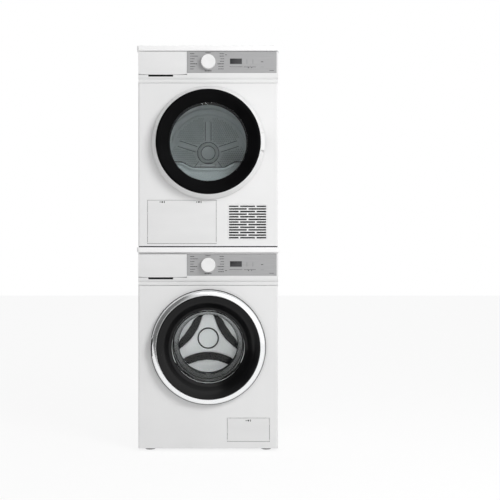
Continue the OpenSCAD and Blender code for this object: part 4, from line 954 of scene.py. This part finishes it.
def perforated_shell(radius, depth0, depth1, centre_z, around, rows, hole_mm):
    """Grid of cells round the drum, each with an eight-sided hole of radius hole_mm:
    angle = 2 pi u / around and depth = depth0 + v pitch. Alternate rows shift by half."""
    pitch_t, pitch_d = 2 * np.pi * radius / around, (depth1 - depth0) / rows
    hole = np.stack([np.cos(rim_turn) * hole_mm / pitch_t, np.sin(rim_turn) * hole_mm / pitch_d], -1)
    cell = np.concatenate([cell_rim, hole])
    i, j = np.meshgrid(np.arange(around), np.arange(rows), indexing="ij")
    centre = np.stack([i + 0.5 * (j % 2), j + 0.5], -1).reshape(-1, 1, 2)
    uv = (centre + cell).reshape(-1, 2)
    a = 2 * np.pi * uv[:, 0] / around
    points = np.stack([radius * np.sin(a), front_y + depth0 + uv[:, 1] * pitch_d,
                       centre_z + radius * np.cos(a)], -1)
    k = np.arange(8)
    quads = np.stack([k, (k + 1) % 8, (k + 1) % 8 + 8, k + 8], -1)
    starts = np.arange(around * rows) * 16
    return points, (starts[:, None, None] + quads).reshape(-1, 4).tolist()


def thicken(piece, wall):
    """Gives a one-sided sheet a wall of the given thickness, half to each side."""
    solid = piece.modifiers.new("sheet_thickness", "SOLIDIFY")
    solid.thickness = wall * MM
    solid.offset = 0


shell_sheet = perforated_shell(239.6, 112, 412, washer_zc, 108, 22, 2.6)
shell = mesh_piece("washer_drum_perforated_shell", *shell_sheet, shell_steel, "washer_drum", "stainless", 60)
thicken(shell, 0.8)
drum_front_profile = filleted([[160, 93, 1], [163, 91, 1.5], [165, 94, 1], [166, 98, 2], [232, 98, 5],
                               [240, 106, 3], [240, 114, 0.2], [239.2, 114, 0.2], [239.2, 106.8, 3],
                               [231.6, 98.8, 4], [165.4, 98.8, 2], [163, 94, 0.5], [161.2, 94, 0.4]], 4)
drum_front = mesh_piece("washer_drum_front_ring", *ring_part(drum_front_profile, washer_zc, 160), shell_steel,
                        "washer_drum", "stainless", 50)
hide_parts("washer_drum")
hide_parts("washer_drum")


def star_back():
    """Polar height field. The star is the part of a disc outside three circles, and its
    arms end in rounds. s is the distance outside it. The face is at depth 408 on the star
    and 418 outside it, in a channel painted dark as shade, and beyond the channel it
    rises by 6.5 again. A groove round the hub is painted dark as shade too."""
    radii = np.concatenate([np.linspace(0, 40, 6), np.linspace(42, 52, 9), np.linspace(54, 236, 90)])
    t = np.linspace(0, 2 * np.pi, 288, endpoint=False)
    r, a = np.meshgrid(radii, t, indexing="ij")
    x, z = r * np.sin(a), r * np.cos(a)
    circle_at, circle_r, arm_end, arm_round = 288, 226, 150, 40
    far = np.min([np.hypot(x - circle_at * np.cos(q), z - circle_at * np.sin(q))
                  for q in np.radians([30, 150, 270])], 0)
    tip = np.min([np.hypot(x - arm_end * np.cos(q), z - arm_end * np.sin(q))
                  for q in np.radians([90, 210, 330])], 0)
    s = np.maximum(circle_r - far, np.minimum(r - arm_end, tip - arm_round))
    ramp = np.clip(s / 7 + 0.2, 0, 1)
    height = 408 + 10 * ramp * ramp * (3 - 2 * ramp)
    field = np.clip((186 - far) / 4, 0, 1)
    height -= 6.5 * field * field * (3 - 2 * field)
    hub_groove = 46.5
    height += 4 * np.clip(1 - np.abs(r - hub_groove) / 4, 0, 1)
    points = np.stack([x, front_y + height, washer_zc + z], -1).reshape(-1, 3)
    faces = grid_faces(len(radii), len(t))
    quad = np.array(faces)
    middle_s, middle_far = s.ravel()[quad].mean(1), far.ravel()[quad].mean(1)
    # Faces in the channel and in the hub groove take the painted shade.
    dark = (middle_s > 1.5) & (middle_far > 187)
    return points, faces, dark | (np.abs(r.ravel()[quad].mean(1) - hub_groove) < 3.6)


def field_piece(name, points, faces, marked, first, second, body, slot, wall):
    """A one-sided sheet whose marked faces take a second material, given a thickness."""
    mesh = bpy.data.meshes.new(name)
    mesh.from_pydata(points * MM, [], faces)
    mesh.polygons.foreach_set("material_index", marked.astype(np.int32))
    mesh.polygons.foreach_set("use_smooth", np.ones(len(faces), bool))
    mesh.materials.append(first)
    mesh.materials.append(second)
    work = bmesh.new()
    work.from_mesh(mesh)
    bmesh.ops.remove_doubles(work, verts=work.verts, dist=1e-6)
    bmesh.ops.dissolve_degenerate(work, edges=work.edges, dist=1e-7)
    bmesh.ops.recalc_face_normals(work, faces=work.faces)
    work.to_mesh(mesh)
    work.free()
    piece = bpy.data.objects.new(name, mesh)
    bpy.context.scene.collection.objects.link(piece)
    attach(piece, body)
    thicken(piece, wall)
    return piece


drum_back = field_piece("washer_drum_star_back", *star_back(), plate_steel, painted_shade_steel, "washer_drum",
                        "stainless", 0.8)
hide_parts("washer_drum_back")


def rim_steel_painted_shade():
    """Steel painted dark as shade, with rows of small bright spots 4 mm across, 8 mm apart."""
    material, tree, shader = new_material("stainless_rim_painted_shade", "#3a3c3d", 0.4, Metallic=0.5)
    drops = add_node(tree, "ShaderNodeTexVoronoi", {"Scale": 1.0, "Randomness": 0.15},
                     {"Vector": place_pattern(tree, 8)}).outputs["Distance"]
    ramp = add_node(tree, "ShaderNodeValToRGB", links={"Fac": drops},
                    ramp=[(0.2, linear("#8d9091")), (0.3, linear("#2e3031"))])
    tree.links.new(ramp.outputs["Color"], shader.inputs["Base Color"])
    return material


# A rim in front of the star back, dark with painted shade.
rim_profile = filleted([[160, 407, 0], [160, 399, 2], [236, 399, 2], [236, 407, 0], [235, 407, 0],
                        [235, 400, 1], [161, 400, 1], [161, 407, 0]], 3)
rim_painted_shade = ring_part(rim_profile, washer_zc, 192)
mesh_piece("washer_drum_rim_painted_shade", *rim_painted_shade, rim_steel_painted_shade(), "washer_drum", "stainless", 50)


# ----------------------------------------------------------------- dryer door
# A white ABS ring that narrows towards the front, a gloss black bezel that falls
# to a flat smoke-tinted window, and a black frame behind, on a white-coated hinge.
coat_cad(black_plastic, "dryer_door_frame")
coat_cad(white_steel, "dryer_hinge")
dryer_zc = axis_height("dryer_door_ring")
dryer_ring_profile = filleted([[237, -6, 0.6], [221.5, -46, 5], [219.5, -50.4, 1.5], [215, -50.5, 0.4],
                               [215, -47, 0], [217, -45, 0], [233, -6, 0.5]], 6)
dryer_ring = mesh_piece("dryer_door_white_ring", *ring_part(dryer_ring_profile, dryer_zc, 288,
                        notch_at(90, 9.4, -34)), white_abs, "dryer_door", "white_abs", 30)
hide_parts("dryer_door_ring")
dryer_bezel_profile = filleted([[219, -50.8, 0.5], [216, -54, 2], [211, -55.2, 2], [202, -53.4, 3],
                                [197, -50.6, 3], [165.2, -40, 0.8], [165.2, -36.7, 0], [197, -46.5, 0],
                                [214.7, -50.7, 0]], 6)
dryer_bezel = mesh_piece("dryer_door_falling_bezel", *ring_part(dryer_bezel_profile, dryer_zc, 240),
                         gloss_black_abs("deep_black_moulded_abs", 0.03), "dryer_door", "black_abs", 40)
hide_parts("dryer_door_bezel")
smoked = clear_glass("smoke_tinted_toughened_glass", "#edf1f1", "#fafbfb")
window_profile = filleted([[173, -36.6, 0.6], [173, -32.6, 0.6], [0, -32.6, 0], [0, -36.6, 0]], 4)
window = mesh_piece("dryer_door_smoked_window", *ring_part(window_profile, dryer_zc, 160), smoked,
                    "dryer_door", "smoked_glass", 40)
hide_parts("dryer_door_glass")


# ----------------------------------------------------------- dryer drum inside
# Stainless shell, and a back of coated steel with an embossed hub, ring and
# five spokes, punched with small air holes between them. Dark strips round the hub
# and along the spokes are painted shade.
def coated_steel():
    """Grey-green baked coating on pressed steel, mottled over about 30 mm."""
    material, tree, shader = new_material("grey_coated_pressed_steel", "#c8cecf", 0.5, Metallic=0.1)
    cloud = add_node(tree, "ShaderNodeTexNoise", {"Scale": 1.0, "Detail": 3.0},
                     {"Vector": place_pattern(tree, 30)}).outputs["Fac"]
    paint_variation(tree, shader, cloud, "#c3c9ca", "#cdd3d4")
    vary_roughness(tree, shader, cloud, 0.4, 0.5)
    return material


grey_steel = coated_steel()
dry_shell_profile = filleted([[214, 78, 0.3], [255, 78, 4], [265, 88, 5], [265, 402, 0.2], [264.3, 402, 0.2],
                              [264.3, 88.6, 4], [254.4, 78.8, 4], [214, 78.8, 0.3]], 5)
dry_shell = mesh_piece("dryer_drum_rolled_shell", *ring_part(dry_shell_profile, dryer_zc, 192), shell_steel,
                       "dryer_drum", "stainless", 50)
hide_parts("dryer_drum")


spoke_angles = np.radians(18 + 72 * np.arange(5))


def air_hole_field():
    """Square cells 8.5 mm apart with eight-sided holes of radius 1.9 mm between the
    spokes, and plain cells elsewhere, all inside a circle of radius 178."""
    pitch, half = 8.5, 21
    i, j = np.meshgrid(np.arange(-half, half + 1), np.arange(-half, half + 1), indexing="ij")
    centre = np.stack([i + 0.5 * (j % 2), j], -1).reshape(-1, 2) * pitch
    centre = centre[np.hypot(centre[:, 0], centre[:, 1]) < 178]
    x, z = centre.T
    r = np.hypot(x, z)
    behind_hub = 1e3
    off = [np.abs(x * np.sin(q) - z * np.cos(q)) + behind_hub * (x * np.cos(q) + z * np.sin(q) < 0)
           for q in spoke_angles]
    holed = (np.min(off, 0) > 19) & (r > 56) & (r < 150)
    rim = cell_rim * pitch
    hole = np.stack([np.cos(rim_turn), np.sin(rim_turn)], -1) * 1.9
    points, faces, start = [], [], 0
    for at, cut in zip(centre, holed):
        cell = np.concatenate([rim, hole]) + at if cut else rim + at
        points.append(cell)
        if cut:
            faces += [[start + k, start + (k + 1) % 8, start + (k + 1) % 8 + 8, start + k + 8]
                      for k in range(8)]
        else:
            faces.append([start + k for k in range(8)])
        start += len(cell)
    flat = np.concatenate(points)
    return np.stack([flat[:, 0], np.full(len(flat), front_y + 400.4), dryer_zc + flat[:, 1]], -1), faces


hole_sheet = mesh_piece("dryer_drum_air_holes", *air_hole_field(), grey_steel, "dryer_drum", "stainless")
thicken(hole_sheet, 0.6)
dry_back_parts = [ring_part(filleted(profile, 3), dryer_zc, 192) for profile in (
    [[264.2, 390, 0.3], [187, 390, 4], [184, 399, 3], [168, 400, 0], [168, 400.7, 0], [185, 400.7, 3],
     [188, 391, 3], [264.2, 391, 0.3]],
    [[165, 400.2, 0], [164, 397, 2], [162, 396, 1.5], [160, 397, 2], [159, 400.2, 0]],
    [[43, 400.3, 0], [42, 393, 3], [39, 391, 3], [34, 391, 3], [31, 396, 2], [12, 397.5, 3], [0, 397.5, 0],
     [0, 400.3, 0]])]


def along_spoke(block, angle, depth):
    """A block laid out along X, turned by angle about the drum's axis and set at depth."""
    points, faces = block
    x = points[:, 0] * np.cos(angle) - points[:, 2] * np.sin(angle)
    z = points[:, 0] * np.sin(angle) + points[:, 2] * np.cos(angle)
    return np.stack([x, front_y + depth + points[:, 1], dryer_zc + z], -1), faces


spoke = rounded_block((87, 0, 0), (49, 3.2, 10.5), 1, 9, 2.6, 5)
dry_back_parts += [along_spoke(spoke, angle, 397.4) for angle in spoke_angles]
dry_back = mesh_piece("dryer_drum_embossed_back", *joined(dry_back_parts), grey_steel, "dryer_drum",
                      "stainless", 40)
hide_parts("dryer_drum_back")
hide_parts("dryer_drum_back")
# Dark grey strips round the hub and along both sides of each spoke are painted shade of the embossing.
groove_parts = [ring_part([[r, 392], [r + 2.4, 392], [r + 2.4, 400], [r, 400]], dryer_zc, 96)
                for r in (28, 44)]
grooves = [rounded_block((92, 0, side), (40, 1.2, 1.1), 1, 1, 0.3, 3) for side in (-12.2, 12.2)]
groove_parts += [along_spoke(groove, angle, 399) for angle in spoke_angles for groove in grooves]
painted_shade_grey = stainless_steel("pressed_groove_painted_shade", "#55595a", "#626667", 0.5)
mesh_piece("dryer_drum_grooves_painted_shade", *joined(groove_parts), painted_shade_grey, "dryer_drum", "stainless", 40)


# ----------------------------------------------------------- lint filter housing
# The dryer's throat and the housing at its foot, both moulded in mid-grey
# polypropylene. A rubber lip along the housing's top edge meets the door.
def grey_polypropylene():
    """Mid-grey moulded polypropylene of the throat and filter housing."""
    material, tree, shader = new_material("mid_grey_moulded_polypropylene", "#7b8182", 0.42, IOR=1.49)
    grain = add_node(tree, "ShaderNodeTexNoise", {"Scale": 1.0, "Detail": 4.0},
                     {"Vector": place_pattern(tree, 2)}).outputs["Fac"]
    paint_variation(tree, shader, grain, "#767c7d", "#808687")
    raise_relief(tree, shader, grain, 0.04, 0.35)
    return material


filter_grey = grey_polypropylene()
coat_cad(filter_grey, "dryer_bulkheads")


def filter_edge(x):
    """Top edge of the filter housing: it dips by 22 mm along a smooth step between 118
    and 62 mm from the middle, d = 22 u^2 (3 - 2 u)."""
    u = np.clip((118 - np.abs(x)) / 56, 0, 1)
    return dryer_zc - 77 - 22 * u * u * (3 - 2 * u)


def cover_section(x):
    """Rolled lip, shallow groove, belly and foot, from the top edge to a 176 mm circle."""
    top, foot = filter_edge(x), dryer_zc - math.sqrt(176 ** 2 - x * x)
    step = (top - foot) / 8
    shape = [(46, 0), (42.6, 0.05), (40.8, 0.35), (40.4, 0.8), (41.2, 1.2), (44.4, 1.6), (44.8, 2.2),
             (44, 3), (42.4, 3.5), (38, 4.6), (35.5, 5.6), (34.6, 6.6), (35, 7.4), (37.5, 8), (46, 8)]
    return np.array([(d, top - step * k) for d, k in shape])


def seal_section(x):
    """Rubber lip 4 mm high along the top edge."""
    foot, shoulder, crest = filter_edge(x) + np.array([-2.5, 3.4, 4.4])
    return np.array([(43, foot), (43, shoulder), (44, crest), (48, crest), (49, shoulder), (49, foot)])


stations = np.linspace(-154, 154, 89)
cover = across([cover_section(x) for x in stations], stations)
seal = across([seal_section(x) for x in stations], stations)
mesh_piece("dryer_filter_cover", *cover, filter_grey, "cabinet", "black_plastic", 50)
mesh_piece("dryer_filter_seal", *seal, rubber, "cabinet", "black_rubber", 50)


# --------------------------------------------------------------- service flaps
# Flush ABS flaps over the heat exchanger and the pump filter, turning on two
# pins at their lower edge, each with black latches in round and narrow slots.
def service_flap(node, body, latches):
    """Plate with latch openings. latches are (x, z, half width, half height)."""
    low, high = box_mm(node)
    x0, x1 = low[0] + 3.8, high[0] - 3.8
    z0, z1 = low[2], high[2]
    holes = [box_outline(x - w, x + w, z - h, z + h, min(w, h) - 0.05, 5) for x, z, w, h in latches]
    parts = [holed_plate([box_outline(x0, x1, z0, z1, 1.5)] + holes, 0, 2.5)]
    for x in (x0, x1 - 8):
        parts.append(mesh_block(x, x + 8, 2.5, 7, z0, z0 + 8))
    t = np.linspace(0, 2 * np.pi, 24, endpoint=False)
    pin = np.stack([4.5 + 2 * np.cos(t), z0 + 4 + 2 * np.sin(t)], -1)
    parts += [across([pin, pin], ends) for ends in ((x0 - 3.8, x0 + 1), (x1 - 1, x1 + 3.8))]
    piece = mesh_piece(node + "_moulding", *joined(parts), white_abs, body, "white_abs", 40)
    soften(piece, 0.4)
    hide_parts(node)
    bolts = [rounded_block((x, front_y + 2.2, z), (w - 0.2, 1.4, h - 0.2), 1, min(w, h) - 0.3, 0.2, 2)
             for x, z, w, h in latches]
    mesh_piece(node + "_latches", *joined(bolts), black_plastic, body, "black_plastic")


def latch_at(x, z):
    """One latch: a round key with a narrow slot on either side."""
    return [(x - 9, z, 1.9, 2.6), (x, z, 3.6, 3.6), (x + 9, z, 1.7, 4.2)]


service_flap("exchanger_flap", "exchanger_cover", latch_at(-193, 1045) + latch_at(-39, 1045))
service_flap("pump_flap", "pump_cover", latch_at(168.5, 127))


# ---------------------------------------------------------- ventilation grille
# A white ABS insert with thirteen rows of slots, three and two to a row.
def grille():
    """Frame with rounded slots, row pitch 11 mm, each slot 6 mm tall."""
    low, high = box_mm("dryer_grille")
    x0, z0, pitch = 87.4, 892, 11
    slots = []
    for row in range(13):
        z = z0 + pitch * row
        ends = [(0, 40), (47, 109), (116, 156)] if row % 2 == 0 else [(0, 74.5), (81.5, 156)]
        slots += [box_outline(x0 + a, x0 + b, z, z + 6, 1.2) for a, b in ends]
    inner = box_outline(low[0] + 5, high[0] - 5, low[2] + 5, high[2] - 5, 3)
    front_face = holed_plate([inner] + slots, 0, 3)
    flange = holed_plate([box_outline(low[0], high[0], low[2], high[2], 3), inner], 1.2, 3)
    piece = mesh_piece("dryer_grille_slotted", *joined([front_face, flange]), white_abs, "cabinet",
                       "white_abs", 40)
    soften(piece, 0.35)
    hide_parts("dryer_grille")


grille()


# ------------------------------------------------------ hidden and rear parts
# Zinc-coated rear sheets, hinge, motors and springs, the die-cast pulley and shaft,
# the concrete ballast, the wool felt seal, the finned heat exchanger, and plastic
# tub, pump and fittings. All keep the shapes of the frame's own solids.
def zinc_coated_steel():
    """Hot-dip zinc with spangle about 9 mm across."""
    material, tree, shader = new_material("zinc_coated_sheet_steel", "#a9adb0", 0.42, Metallic=0.75)
    spangle = add_node(tree, "ShaderNodeTexVoronoi", {"Scale": 1.0},
                       {"Vector": place_pattern(tree, 9)}).outputs["Color"]
    grey = add_node(tree, "ShaderNodeSeparateColor", links={"Color": spangle}).outputs[0]
    paint_variation(tree, shader, grey, "#a2a6a9", "#b3b7ba")
    vary_roughness(tree, shader, grey, 0.36, 0.48)
    return material


def cast_aluminium():
    """Die-cast aluminium, its skin dimpled over about 2 mm."""
    material, tree, shader = new_material("die_cast_aluminium", "#a8aaac", 0.45, Metallic=0.85)
    skin = add_node(tree, "ShaderNodeTexNoise", {"Scale": 1.0, "Detail": 5.0},
                    {"Vector": place_pattern(tree, 3)}).outputs["Fac"]
    paint_variation(tree, shader, skin, "#a0a2a4", "#b0b2b4")
    raise_relief(tree, shader, skin, 0.08, 0.5)
    return material


def cast_concrete():
    """Concrete with sand grains and small air holes, about 4 mm across."""
    material, tree, shader = new_material("cast_concrete_ballast", "#8c8883", 0.9)
    sand = add_node(tree, "ShaderNodeTexNoise", {"Scale": 1.0, "Detail": 8.0},
                    {"Vector": place_pattern(tree, 6)}).outputs["Fac"]
    paint_variation(tree, shader, sand, "#7c7873", "#99958f")
    raise_relief(tree, shader, sand, 0.5, 0.7)
    return material


def wool_felt():
    """Pressed wool felt: fibres about 1 mm long in all directions."""
    material, tree, shader = new_material("pressed_wool_felt", "#7b7a74", 0.95, Sheen_Weight=0.4)
    fibre = add_node(tree, "ShaderNodeTexNoise", {"Scale": 1.0, "Detail": 8.0, "Distortion": 2.0},
                     {"Vector": place_pattern(tree, 2)}).outputs["Fac"]
    paint_variation(tree, shader, fibre, "#6d6c66", "#8a8983")
    raise_relief(tree, shader, fibre, 0.4, 0.8)
    return material


def stacked_fins():
    """Aluminium fins 2 mm apart, drawn 4 mm, as fine light lines with dark lines of painted shade between
    them.
    """
    material, tree, shader = new_material("stacked_aluminium_fins", "#b4b7b9", 0.4, Metallic=0.8)
    fins = add_node(tree, "ShaderNodeTexWave", {"Scale": 0.16}, {"Vector": place_pattern(tree, 4)},
                    wave_type="BANDS", bands_direction="X").outputs["Fac"]
    paint_variation(tree, shader, fins, "#55585a", "#c3c6c8")
    raise_relief(tree, shader, fins, 0.6, 0.8)
    return material


def nylon_mesh():
    """Nylon gauze with threads 0.5 mm apart, drawn 1.6 mm."""
    material, tree, shader = new_material("woven_nylon_gauze", "#5a5c5e", 0.6)
    weave = add_node(tree, "ShaderNodeTexBrick", {"Scale": 1.0, "Mortar Size": 0.12, "Brick Width": 0.5,
                     "Row Height": 0.25}, {"Vector": place_pattern(tree, 3.2, 3.2, 3.2)}).outputs["Fac"]
    paint_variation(tree, shader, weave, "#505254", "#7c7e80")
    return material


coat_cad(zinc_coated_steel(), "washer_rear_panel", "dryer_rear_panel", "washer_hinge", "drive_motors",
         "washer_suspension")
coat_cad(cast_aluminium(), "washer_drum_shaft", "washer_pulley")
coat_cad(cast_concrete(), "washer_counterweight")
coat_cad(wool_felt(), "dryer_drum_seal")
coat_cad(stacked_fins(), "heat_exchanger")
coat_cad(nylon_mesh(), "lint_filter")
coat_cad(black_plastic, "dryer_fan", "compressor")
coat_cad(shell_steel, "washer_motor_pulley")
coat_cad(rubber, "drive_belts")
coat_cad(light_plastic, "washer_tub", "drain_pump", "pump_filter_cap", "door_locks", "rear_water_fittings",
         "washer_lifters", "dryer_lifters")
